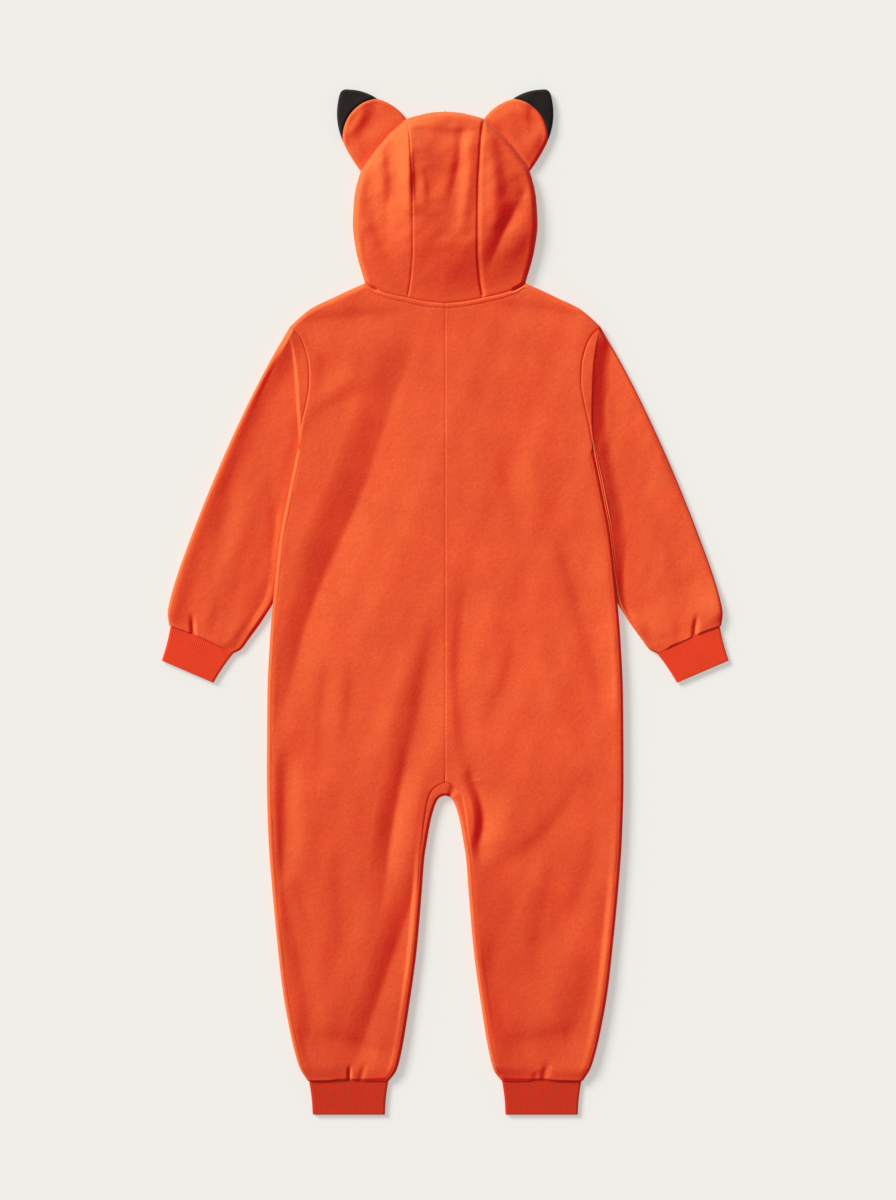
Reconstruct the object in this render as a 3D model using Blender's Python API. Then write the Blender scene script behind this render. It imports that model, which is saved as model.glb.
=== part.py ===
"""A child's hooded fox onesie in fleece, laid flat on its front with its back up.

+Y runs from the feet to the hood, +X is to the right as seen from above, and +Z is up.
The origin is on the resting plane under the middle of the garment. Every piece of cloth is a
wall of its own: an outer surface worked out on a grid, and an inner one a cloth's thickness
behind it. Both halves are mirror images in outline, and the folds differ from side to side.
"""

import bpy
import math
from collections import namedtuple

import numpy as np

MM = 0.001

# Cloth and how it lies
FLEECE = 2.6 * MM
RIB = 2.2 * MM
TAPE = 1.1 * MM
SEAM_GAP = 0.3 * MM
SEAM_DIP = 0.6 * MM
LEAST_LAY = 0.6 * MM
LAY = 11.6 * MM
FOLD = 13.8 * MM
FOLD_REACH = 16 * MM
SLEEVE_FOLD = 13.2 * MM
SLEEVE_TUCK = 7.0 * MM
SLEEVE_SLOPE = 26 * MM
CUFF_LAY = 6.4 * MM
CUFF_TAPER = 0.3 * MM
CUFF_DRAW = 0.9 * MM
HEM_LAY = 9.2 * MM
HEM_REACH = 16 * MM
HEM_SHARE = 0.06
HEM_BOW = np.array((1.2, 2.6)) * MM

# Lengths along the body, measured from the origin
NECK_BACK_Y = 342 * MM
NECK_FRONT_Y = 300 * MM
NECK_SIDE_Y = 365.6 * MM
NECK_SIDE_X = 92 * MM
CROTCH_SEAM_Y = -206.6 * MM
CROTCH_FOLD_Y = -222.2 * MM
HEM_Y = -549.7 * MM
SIDE_SEAM_INSET = 5.6 * MM
LEG_SLANT = 12 * MM
UNDERARM_STEP = 17 * MM
EDGE_FADE = 8 * MM
SHOULDER_SLOPE = math.radians(32)

# Front opening
ZIP_GAP = 5.3 * MM
ZIP_END_Y = -130 * MM
ZIP_TAPER = 20 * MM
TAPE_WIDTH = 14 * MM
TAPE_ENDS = (8 * MM, 1 * MM)
PULL_AXIS_Y = 288 * MM
PULL_AXIS_Z = 1.15 * MM
PULL_PIN = 0.6 * MM
PULL_PIN_LONG = 4.2 * MM
PULL_LONG = 22 * MM
PULL_HALF = np.array((1.9, 0.45)) * MM
GRIP_HALF = np.array((3.4, 0.4)) * MM
GRIP_START = 7 * MM
SLIDER_LOW = np.array((-4.2, 283.5, 1.9)) * MM
SLIDER_HIGH = np.array((4.2, 295, 2.65)) * MM
LUG_INNER = 2.5 * MM
LUG_OUTER = 3.5 * MM
LUG_Y = np.array((285.5, 290.5)) * MM
LUG_Z = np.array((0.5, 2.1)) * MM

# Hood
HOOD_CENTRE_Y = 445 * MM
HOOD_TOP_Y = 562.3 * MM
HOOD_HEIGHT = 26.6 * MM
HOOD_EDGE = 7.8 * MM
HOOD_UNDER = 1.15
HOOD_RISE = 50 * MM
HOOD_BROW_Y = 535 * MM
HOOD_ARCH = 3.0
NECK_ARCH = 2.0
HOOD_FLOOR_STEPS = 3
HOOD_EDGE_RISE = 0.25
NECK_EASE = 6
CROWN_EASE = 4
CROWN_BOW = 0.6

# Ears
EAR_CENTRE = np.array((72.3, 532.3)) * MM
EAR_RADIUS = 45.5 * MM
EAR_THICK = 9.6 * MM
EAR_TIP = np.array((113.6, 580.8)) * MM
EAR_TIP_ROUND = 7.8 * MM
EAR_OUT = np.array((0.75, 0.66))
EAR_GAP = 0.9 * MM
EAR_NEAR = 0.3 * MM
EAR_TURN = np.radians((-4, 87.4))
EAR_TIP_TURN = np.radians((5, 100))
EAR_BOWS = {"round": np.array(((1.2, -0.6), (-2.3, 3.3))) * MM,
            "tip": np.array(((4.6, 0), (-0.9, 2.6))) * MM}

SIDES = {-1: "left", 1: "right"}
TO_MICRON = 6

Row = namedtuple("Row", "y x")
Fold = namedtuple("Fold", "x0 y0 x1 y1 bow width depth")
Corner = namedtuple("Corner", "x y")
Rim = namedtuple("Rim", "line kind")


def rows(*pairs):
    """A table in millimetres as an array of metres, one (y, x) row for each section."""
    return np.array([Row(*pair) for pair in pairs], float) * MM


# Half widths from the middle, from the head down: y, x
SHOULDER = rows((365.6, 92), (357, 112), (350, 126.5), (337, 153.5), (329, 164), (315.5, 178.5))
ARMHOLE = rows((315.5, 178.5), (305, 168), (290, 160.8), (270, 156.4), (250, 155.8),
               (232, 158.3), (207, 164), (183, 168))
BODY_SIDE = rows((183, 168), (124, 180.3), (78, 189.2), (31, 194.7), (-45, 201.3), (-110, 204.2),
                 (-202, 204.7), (-268, 203), (-334, 198.2), (-386, 193.2), (-445, 186.6),
                 (-496, 177.5), (-518, 172.3), (-535, 166.8), (-549.7, 158))
LEG_INSIDE = rows((-222.2, 0.4), (-223.5, 4.5), (-227, 8.6), (-240, 13.8), (-254, 17.3),
                  (-274, 20.8), (-294, 23.9), (-331, 26.7), (-400, 32.7), (-469, 42.2),
                  (-514, 49.7), (-538, 56), (-549.7, 64.6))
SLEEVE_OUTSIDE = rows((315.5, 178.5), (272, 203.5), (222, 229), (155, 259.5), (78, 290.5),
                      (25, 309.5), (3, 315.7), (-14, 318.6), (-27.2, 317))
SLEEVE_INSIDE = rows((182, 170.5), (160, 175), (124, 183), (78, 190.8), (31, 196), (2, 200), (-18, 209),
                     (-44, 226.5), (-54.5, 234.5), (-59, 243))
NECK_BACK = rows((342, 0), (344, 20), (348.5, 43), (353.5, 66), (359, 81), (365.6, 92))
NECK_FRONT = rows((300, 5.3), (307, 22), (322, 48), (345, 78), (365.6, 92))
HOOD_OUTLINE = rows((365.6, 92), (403.7, 102.3), (432.4, 105.8), (460, 104.5), (493.8, 96.8),
                    (507, 88.2), (522, 77), (537, 64), (547.4, 52.4), (553.7, 44.5),
                    (558.6, 28), (561.4, 14), (562.3, 0))
HOOD_SEAM = rows((348.5, 43), (370, 39.5), (404, 37), (470, 37.4), (505, 39), (525, 40.2),
                 (545, 42.5))
FACE_EDGE = rows((300, 5.3), (330, 24), (370, 41), (420, 50), (470, 50), (510, 44), (535, 40))

# Seam round the crotch: how far it lies in from the fold, by the distance along the fold
CROTCH_INSET = rows((0, 15.4), (11, 10.8), (25, 8.2), (41, 6.6), (60, 5.8), (400, 5.6))

# Ends of each cuff: where its upper and lower corners lie
WRIST_TOP = (Corner(315.6, -27.9), Corner(244, -60.2))
WRIST_END = (Corner(325.5, -67.2), Corner(266.2, -92.7))
ANKLE_TOP = (Corner(156.6, -550), Corner(65, -550))
ANKLE_END = (Corner(152.2, -588.6), Corner(69.2, -588.6))

# Where the lines of each grid run, as shares of its width or of its length
SHOULDER_SHARE = 0.46
BODY_COLUMNS = np.array((0, 0.06, 0.15, 0.26, 0.36, SHOULDER_SHARE, 0.53, 0.62, 0.72, 0.82, 0.92, 1.0))
FRONT_COLUMNS = np.array((0, 0.12, 0.30, SHOULDER_SHARE, 0.53, 0.66, 0.82, 1.0))
ARMHOLE_ROWS = np.array((0, 0.02, 0.05, 0.12, 0.24, 0.40, 0.57, 0.74, 0.90, 1.0))
TORSO_Y = np.linspace(164, -196, 15) * MM
LEG_PARTS = np.array((0, 0.018, 0.036, 0.06, 0.10, 0.16, 0.24, 0.34, 0.45, 0.56, 0.67, 0.78, 0.87,
                      0.94, 0.975, 1.0))
SLEEVE_EDGE_OUT = np.array((0, 0.045, 0.10, 0.16, 0.215, 0.265))
SLEEVE_FOLD_PARTS = np.array((0, 0.06, 0.15, 0.27, 0.40, 0.54, 0.68, 0.81, 0.91, 0.965, 1.0))
UNDERARM_OUT = 0.30
SLEEVE_COLUMNS = np.array((0.07, 0.20, 0.35, 0.50, 0.65, 0.80, 0.92, 1.0))
CUFF_COLUMNS = np.array((0.04, 0.34, 0.66, 1.0))
CUFF_ROWS = np.linspace(0, 1, 3)
HOOD_ROWS = np.array((0, 0.05, 0.11, 0.18, 0.26, 0.34, 0.43, 0.52, 0.61, 0.70, 0.79, 0.87, 0.94,
                      1.0))
HOOD_TURN = np.sin(np.linspace(0, math.pi / 2, 10))
EAR_COLUMNS = (1 - np.cos(np.linspace(0, math.pi, 9))) / 2
EAR_ROWS = {"round": np.array((0, 0.33, 0.66, 1.0)), "tip": np.array((0, 0.35, 0.68, 0.9, 1.0))}

# Directions round each fold, from the floor to the upper run
OUTER_TURN = np.radians((-90, -50, -10, 30, 65))
INNER_TURN = np.radians((90, 50, 10, -35, -90))
WRAP_TURN = np.radians((-50, -10, 24, 54))
UNDER_TURN = np.radians((30, 60, 90))

# Soft folds in the upper layer, in millimetres: a negative depth is a trough
FOLDS = [
    Fold(-45, 279, -190, -102, -7, 14, -1.5),
    Fold(-52, 190, -150, -60, -6, 20, 0.7),
    Fold(-84, 266, -147, 213, 0, 8, -0.8),
    Fold(-113, 290, -158, 223, 0, 10, 0.8),
    Fold(-144, 293, -143, 251, 0, 7, -0.9),
    Fold(-166, 318, -63, 333, 2, 8, -0.9),
    Fold(57, 338, 156, 320, 2, 8, -0.8),
    Fold(76, 160, 64, 95, 0, 11, -0.6),
    Fold(97, 165, 95, 105, 0, 15, 0.6),
    Fold(17, 0, 22, -176, 2, 8, -0.8),
    Fold(71, -17, 57, -102, 0, 9, -0.6),
    Fold(131, 39, 170, -106, 4, 10, -0.7),
    Fold(-24, -67, -63, -301, -4, 9, -0.9),
    Fold(-21, -150, -67, -333, -4, 8, 0.9),
    Fold(-184, -189, -184, -301, 0, 8, -0.8),
    Fold(-180, -350, -160, -495, -3, 9, -0.9),
    Fold(-160, -495, -95, -513, 4, 9, -0.6),
    Fold(-36, -325, -95, -513, 8, 10, -1.1),
    Fold(-127, -285, -119, -385, 0, 12, -0.5),
    Fold(30, -190, 40, -290, -15, 9, -1.6),
    Fold(150, -200, 78, -281, 4, 8, -0.6),
    Fold(166, -253, 122, -357, 12, 9, -0.7),
    Fold(178, -345, 134, -490, 8, 9, -0.9),
    Fold(134, -490, 86, -513, 3, 9, -0.7),
    Fold(47, -357, 58, -446, 0, 8, -0.8),
    Fold(-186, 290, -233, 170, 4, 10, -1.0),
    Fold(-206, 150, -212, 60, 3, 10, -0.6),
    Fold(-286, -8, -287, -38, 0, 7, -1.2),
    Fold(283, -8, 284, -38, 0, 7, -1.2),
    Fold(230, 210, 262, 60, 6, 12, -0.7),
    Fold(-109, -528, -108, -556, 0, 7, -1.2),
    Fold(115, -530, 112, -556, 0, 8, -1.2),
]
HOOD_FOLDS = [
    Fold(-40, 508, -34, 462, 3, 8, -1.8),
    Fold(-26, 510, -16, 455, 2, 8, -1.2),
    Fold(19, 536, 7, 474, 2, 8, -1.2),
    Fold(25, 532, 12, 432, 2, 8, 0.9),
    Fold(62, 498, 61, 455, 0, 8, -1.2),
    Fold(87, 476, 42, 372, 10, 11, -1.8),
    Fold(53, 515, 54, 436, 2, 7, 0.9),
    Fold(-54, 520, -55, 440, -2, 8, 1.0),
    Fold(-86, 440, -45, 365, -8, 12, -1.6),
    Fold(24, 420, 30, 385, 0, 12, -1.0),
]


def along(table, at, key=0):
    """Smooth curve through a table's rows, read at one column: cubic with limited slopes."""
    order = np.argsort(table[:, key])
    known = table[order, key]
    value = table[order, 1 - key]
    step = np.diff(known)
    slope = np.diff(value) / step
    joined = np.zeros(len(known))
    same = slope[1:] * slope[:-1] > 0
    joined[1:-1][same] = (2 * slope[1:] * slope[:-1] / (slope[1:] + slope[:-1] + 1e-30))[same]
    joined[0] = slope[0]
    joined[-1] = slope[-1]
    at = np.clip(np.asarray(at, float), known[0], known[-1])
    cell = np.clip(np.searchsorted(known, at) - 1, 0, len(step) - 1)
    part = (at - known[cell]) / step[cell]
    rest = 1 - part
    return (value[cell] * (1 + 2 * part) * rest ** 2 + value[cell + 1] * (3 - 2 * part) * part ** 2
            + step[cell] * (joined[cell] * part * rest ** 2 - joined[cell + 1] * rest * part ** 2))


def polyline(table, fractions, count=240):
    """Points (x, y) at fractions of the length of the smooth curve through a table's rows."""
    chord = np.hypot(*np.diff(table, axis=0).T)
    known = np.concatenate([[0], np.cumsum(chord)])
    fine = np.linspace(0, known[-1], count)
    y = along(np.column_stack([known, table[:, 0]]), fine)
    x = along(np.column_stack([known, table[:, 1]]), fine)
    length = np.concatenate([[0], np.cumsum(np.hypot(np.diff(x), np.diff(y)))])
    at = np.asarray(fractions, float) * length[-1]
    return np.stack([np.interp(at, length, x), np.interp(at, length, y)], axis=-1)


def smoothstep(value):
    """Rise from 0 to 1 with level ends."""
    value = np.clip(value, 0, 1)
    return value * value * (3 - 2 * value)


def blend(start, end, part):
    """Straight mix of two sets of points."""
    part = np.asarray(part)[..., None]
    return start * (1 - part) + end * part


def fold_height(folds, x, y):
    """Sum of soft troughs and ridges, each a bell across a bowed line that fades at its ends."""
    total = np.zeros(np.broadcast(x, y).shape)
    for fold in folds:
        start = np.array((fold.x0, fold.y0)) * MM
        run = np.array((fold.x1 - fold.x0, fold.y1 - fold.y0)) * MM
        length = np.hypot(*run)
        ahead = run / length
        part = ((x - start[0]) * ahead[0] + (y - start[1]) * ahead[1]) / length
        across = (x - start[0]) * -ahead[1] + (y - start[1]) * ahead[0]
        inside = np.clip(part, 0, 1)
        across = across - 4 * fold.bow * MM * inside * (1 - inside)
        beyond = (part - inside) * length
        width = fold.width * MM
        bell = np.exp(-(across / width) ** 2 - (beyond / width) ** 2)
        fade = 0.45 + 0.55 * np.sin(math.pi * inside) ** 0.7
        total = total + fold.depth * MM * bell * fade
    return total


def material(name, colour, roughness, metallic=0.0):
    """Plain finish for one kind of cloth or metal."""
    made = bpy.data.materials.new(name)
    made.use_nodes = True
    shader = made.node_tree.nodes["Principled BSDF"]
    shader.inputs["Base Color"].default_value = (*colour, 1)
    shader.inputs["Roughness"].default_value = roughness
    shader.inputs["Metallic"].default_value = metallic
    return made


def sheet_mesh(grids):
    """Grids of points as one open surface: points that coincide are shared."""
    corners = []
    points = []
    start = 0
    for grid in grids:
        count = grid.shape[0] * grid.shape[1]
        index = np.arange(start, start + count).reshape(grid.shape[:2])
        corners.append(np.stack([index[:-1, :-1], index[:-1, 1:], index[1:, 1:], index[1:, :-1]],
                                axis=-1).reshape(-1, 4))
        points.append(grid.reshape(-1, 3))
        start += count
    points = np.concatenate(points)
    faces = np.concatenate(corners)
    _, first, shared = np.unique(np.round(points, TO_MICRON), axis=0, return_index=True,
                                 return_inverse=True)
    return points[first], shared.reshape(-1)[faces], first


def face_areas(points, faces):
    """Normal of each face, as long as twice its area."""
    return np.cross(points[faces[:, 2]] - points[faces[:, 0]],
                    points[faces[:, 3]] - points[faces[:, 1]])


def vertex_normals(points, faces):
    """Mean of the faces round each point, weighted by their area."""
    across = face_areas(points, faces)
    normals = np.zeros_like(points)
    for corner in range(4):
        np.add.at(normals, faces[:, corner], across)
    return normals / np.linalg.norm(normals, axis=1, keepdims=True)


def barred_ways(rim):
    """Directions that the points of a rim must not lean to.

    An upright rim stands in the vertical surface through its edge, so that it faces its
    neighbour squarely. A level rim, on an outermost fold, lies flat.
    """
    line = rim.line
    if rim.kind == "level":
        return np.tile((0.0, 0.0, 1.0), (len(line), 1))
    if rim.kind == "upright":
        ahead = np.gradient(line[:, :2], axis=0)
        ahead /= np.linalg.norm(ahead, axis=1, keepdims=True)
        return np.column_stack([-ahead[:, 1], ahead[:, 0], np.zeros(len(line))])
    return np.tile((*rim.kind, 0.0), (len(line), 1))


def square_rims(points, normals, rims):
    """Turn the normals at the rims so that each rim is upright or level."""
    rounded = np.round(points, TO_MICRON).tolist()
    found = {tuple(point): index for index, point in enumerate(rounded)}
    for _ in range(6):
        for rim in rims:
            barred = barred_ways(rim)
            index = [found[tuple(point)] for point in np.round(rim.line, TO_MICRON).tolist()]
            lean = (normals[index] * barred).sum(axis=1, keepdims=True)
            turned = normals[index] - lean * barred
            size = np.linalg.norm(turned, axis=1, keepdims=True)
            normals[index] = np.where(size > 0.2, turned / np.maximum(size, 0.2), normals[index])
    return normals


def closed_mesh(name, outer, inner, faces, finish):
    """Outer surface, inner surface turned round, and the rims between their edges."""
    count = len(outer)
    edges = np.concatenate([faces[:, [0, 1]], faces[:, [1, 2]], faces[:, [2, 3]], faces[:, [3, 0]]])
    edges = edges[edges[:, 0] != edges[:, 1]].tolist()
    known = {tuple(edge) for edge in edges}
    rims = [(b, a, a + count, b + count) for a, b in edges if (b, a) not in known]
    points = np.concatenate([outer, inner])
    skin = np.concatenate([faces, faces[:, ::-1] + count, np.array(rims)])
    if (points[skin].mean(axis=1) * face_areas(points, skin)).sum() < 0:
        skin = skin[:, ::-1]
    mesh = bpy.data.meshes.new(name)
    mesh.from_pydata(points.tolist(), [], skin.tolist())
    mesh.validate()
    mesh.shade_smooth()
    mesh.set_sharp_from_angle(angle=math.radians(50))
    mesh.materials.append(finish)
    made = bpy.data.objects.new(name, mesh)
    bpy.context.scene.collection.objects.link(made)
    return made


def wall(name, grids, thickness, finish, side=1, beyond=None, rims=()):
    """Closed wall: the outer surface, the same surface a thickness further in, and its rims.

    beyond is a height far above or below the panel, on its inner side.
    """
    mirror = np.array((side, 1, 1))
    rims = [Rim(rim.line * mirror, rim.kind) for rim in rims]
    points, faces, _ = sheet_mesh([grid * mirror for grid in grids])
    middle = points.mean(axis=0)
    if beyond is not None:
        middle[2] = beyond
    if ((points[faces].mean(axis=1) - middle) * face_areas(points, faces)).sum() < 0:
        faces = faces[:, ::-1]
    normals = square_rims(points, vertex_normals(points, faces), rims)
    return closed_mesh(name, points, points - normals * thickness, faces, finish)


def shell(name, outer, inner, finish, side):
    """Closed wall whose outer and inner surfaces are both given, on grids of the same size."""
    mirror = np.array((side, 1, 1))
    points, faces, first = sheet_mesh([grid * mirror for grid in outer])
    inner = np.concatenate([(grid * mirror).reshape(-1, 3) for grid in inner])[first]
    return closed_mesh(name, points, inner, faces, finish)



def tube_section(length, out_radius, in_radius, end, top, columns, depth=0.0):
    """Half of a flattened tube's section, as (distance across, height), in two strips.

    The first strip goes along the floor to the outer fold, round it and back along the top. The
    second goes round the inner fold. columns gives the places of the points on the flat runs,
    from 0 at the outer fold to 1 at end, and top the height of the upper run there. depth is
    how far inside the cloth's outer side it all runs.
    """
    span = out_radius + (end - out_radius) * columns
    fold = np.column_stack([out_radius - (out_radius - depth) * np.cos(OUTER_TURN),
                            out_radius + (out_radius - depth) * np.sin(OUTER_TURN)])
    upper = np.column_stack([span, top - depth])
    lower = np.column_stack([span[::-1], np.full(len(span), depth)])
    inner = np.column_stack([length - in_radius + (in_radius - depth) * np.cos(INNER_TURN),
                             in_radius + (in_radius - depth) * np.sin(INNER_TURN)])
    return np.concatenate([lower, fold, upper]), inner


def shoulder_round(x, y, height):
    """Upper and lower cloth near the shoulder fold: share of the height reached there."""
    line = along(SHOULDER, np.clip(x, NECK_SIDE_X, None), key=1)
    away = np.where(x > NECK_SIDE_X - 6 * MM, (line - y) * math.cos(SHOULDER_SLOPE), 1.0)
    part = np.clip(away / (height / 2), 0, 1)
    return np.sqrt(1 - (1 - part) ** 2)


def top_edge(columns, neck):
    """Shoulder line from the sleeve to the neck, then the neck seam to the middle."""
    turn = SHOULDER_SHARE
    outer = columns[columns <= turn] / turn
    inner = (columns[columns > turn] - turn) / (1 - turn)
    shoulder = polyline(SHOULDER, 1 - outer)
    collar = polyline(neck, 1 - inner)
    return np.concatenate([shoulder, collar])


def leg_inside():
    """Fold down the inside of a leg, from the crotch, and the way into the leg from it."""
    fine = polyline(LEG_INSIDE, np.linspace(0, 1, 400), count=800)
    ahead = np.gradient(fine, axis=0)
    ahead /= np.linalg.norm(ahead, axis=1, keepdims=True)
    into = np.column_stack([-ahead[:, 1], ahead[:, 0]])
    into[0] = (0, 1)
    length = np.concatenate([[0], np.cumsum(np.hypot(*np.diff(fine, axis=0).T))])
    at = LEG_PARTS * length[-1]
    fold = np.stack([np.interp(at, length, fine[:, i]) for i in (0, 1)], axis=-1)
    way = np.stack([np.interp(at, length, into[:, i]) for i in (0, 1)], axis=-1)
    fold[0, 0] = 0
    way[0] = (0, 1)
    fold[-1, 1] = HEM_Y
    way[-1] = (1, 0)
    return fold, way / np.linalg.norm(way, axis=1, keepdims=True), at


def body_rows(inset, neck_y):
    """Outer and inner ends of the rows of a body panel, and the leg's inside fold.

    inset is how far a row's ends lie in from the folds: by the side, then down the leg.
    """
    fold, way, at = leg_inside()
    armhole = polyline(ARMHOLE, ARMHOLE_ROWS) - np.array((SEAM_GAP / 2, 0))
    at_side, at_leg, crotch_y = inset(at)
    tangent = fold + way * at_leg[:, None]
    tangent[0] = (0, crotch_y)
    leg_y = np.maximum(fold[:, 1] + LEG_SLANT * (1 - LEG_PARTS), HEM_Y)
    outer_y = np.concatenate([TORSO_Y, leg_y])
    side_x = along(BODY_SIDE, outer_y)
    outer = np.concatenate([armhole, np.column_stack([side_x - at_side, outer_y])])
    centre_y = neck_y + (TORSO_Y[0] + UNDERARM_STEP - neck_y) * ARMHOLE_ROWS
    middle_y = np.concatenate([centre_y, TORSO_Y])
    inner = np.concatenate([np.column_stack([np.zeros(len(middle_y)), middle_y]), tangent])
    inner[:, 0] = np.maximum(inner[:, 0], SEAM_GAP / 2)
    return outer, inner, fold, way


def panel_plan(outer, inner, columns, neck):
    """Grid between both ends of each row, its upper rows eased to the shoulder and the neck."""
    plan = blend(outer[:, None], inner[:, None], columns)
    edge = top_edge(columns, neck) - np.array((0, SEAM_GAP / 2))
    edge[-1] = inner[0]
    edge[0] = outer[0]
    ease = np.zeros(len(outer))
    ease[:len(ARMHOLE_ROWS)] = (1 - ARMHOLE_ROWS) ** 1.6
    return plan + (edge - plan[0]) * ease[:, None, None]


def seam_inset(at):
    """How far in the back's seams lie: at the side, down the leg's inside and at the crotch."""
    return SIDE_SEAM_INSET, along(CROTCH_INSET, at), CROTCH_SEAM_Y


def round_inset(at):
    """How far in the front's flat part starts: a fold's radius everywhere."""
    radius = FOLD / 2
    return radius, np.full(len(at), radius), CROTCH_FOLD_Y + radius


def back_panel(side, finish):
    """Half of the back with its leg: one wall from the shoulder and neck to the hem."""
    outer, inner, fold, _ = body_rows(seam_inset, NECK_BACK_Y)
    plan = panel_plan(outer, inner, BODY_COLUMNS, NECK_BACK)
    x, y = plan[..., 0], plan[..., 1]
    from_outer = np.hypot(*(plan - outer[:, None]).transpose(2, 0, 1))
    from_inner = np.hypot(*(plan - inner[:, None]).transpose(2, 0, 1))
    row = np.arange(len(outer))[:, None]
    on_side = np.clip((row - len(ARMHOLE_ROWS) + 3) / 3, 0, 1)
    on_leg = row >= len(outer) - len(fold)
    height = LAY + (FOLD - LAY) * np.exp(-(from_outer / FOLD_REACH) ** 2) * on_side
    height = height + (FOLD - LAY) * np.exp(-(from_inner / FOLD_REACH) ** 2) * on_leg
    height = height + fold_height(FOLDS, side * x, y) * smoothstep(from_outer / EDGE_FADE)
    height[:, 0] -= SEAM_DIP
    height[:, -1] -= SEAM_DIP
    hem = smoothstep((y - HEM_Y) / HEM_REACH)
    height = HEM_LAY + (height - HEM_LAY) * hem
    middle = FOLD / 2 + SEAM_GAP / 2
    height = middle + (height - middle) * shoulder_round(x, y, FOLD)
    panel = np.dstack([x, y, height])
    corner = int((BODY_COLUMNS <= SHOULDER_SHARE).sum()) - 1
    rims = [Rim(panel[0, :corner + 1], "level"), Rim(panel[0, corner:], "upright"),
            Rim(panel[:, 0], "upright"), Rim(panel[:, -1], "upright"), Rim(panel[-1], (0, 1))]
    return wall("back_" + SIDES[side], [panel], FLEECE, finish, side, -1.0, rims)


def front_panel(side, finish):
    """Half of the front with its leg: a flat part on the floor that wraps round both folds."""
    radius = FOLD / 2
    outer, inner, fold, way = body_rows(round_inset, NECK_FRONT_Y)
    zip_edge = ZIP_GAP * smoothstep((inner[:, 1] - ZIP_END_Y) / ZIP_TAPER)
    inner[:, 0] = np.maximum(inner[:, 0], zip_edge)
    columns = FRONT_COLUMNS
    plan = panel_plan(outer, inner, columns, NECK_FRONT)
    x, y = plan[..., 0], plan[..., 1]
    middle = FOLD / 2 - SEAM_GAP / 2
    floor = np.dstack([x, y, middle * (1 - shoulder_round(x, y, FOLD))])

    arc_in = radius * (1 - np.cos(WRAP_TURN))
    arc_up = radius * (1 + np.sin(WRAP_TURN))
    first = len(ARMHOLE_ROWS)
    outer_x, outer_y = outer[first:].T
    side_x = outer_x + radius
    wrap = np.zeros((len(side_x), len(WRAP_TURN) + 2, 3))
    wrap[:, 0, 0] = outer_x
    wrap[:, 1:-1, 0] = side_x[:, None] - arc_in
    wrap[:, -1, 0] = side_x - SIDE_SEAM_INSET + SEAM_GAP
    wrap[..., 1] = outer_y[:, None]
    wrap[:, 1:-1, 2] = arc_up
    wrap[:, -1, 2] = FOLD - SEAM_DIP
    leg = len(outer) - len(fold)
    inset = along(CROTCH_INSET, leg_inside()[2]) - SEAM_GAP
    inside = np.zeros((len(fold), len(WRAP_TURN) + 2, 3))
    inside[:, 0] = floor[leg:, -1]
    inside[:, 1:-1, :2] = fold[:, None] + way[:, None] * arc_in[None, :, None]
    inside[:, 1:-1, 2] = arc_up
    inside[:, -1, :2] = fold + way * inset[:, None]
    inside[:, -1, 2] = FOLD - SEAM_DIP
    inside[0, :, 0] = SEAM_GAP / 2
    for strip in (wrap, inside):
        hem = smoothstep((strip[..., 1] - HEM_Y) / HEM_REACH)
        strip[..., 2] = strip[..., 2] * (HEM_LAY / FOLD + (1 - HEM_LAY / FOLD) * hem)
    corner = int((columns <= SHOULDER_SHARE).sum()) - 1
    rims = [Rim(floor[0, :corner + 1], "level"), Rim(floor[0, corner:], "upright"),
            Rim(floor[:first + 1, 0], "upright"), Rim(floor[:leg + 1, -1], "upright"),
            Rim(floor[-1], (0, 1)), Rim(wrap[0], (0, 1)), Rim(wrap[:, -1], "upright"),
            Rim(wrap[-1], (0, 1)), Rim(inside[0], (1, 0)), Rim(inside[:, -1], "upright"),
            Rim(inside[-1], (0, 1))]
    return wall("front_" + SIDES[side], [floor, wrap[:, ::-1], inside], FLEECE, finish, side, 1.0,
                rims)


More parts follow.
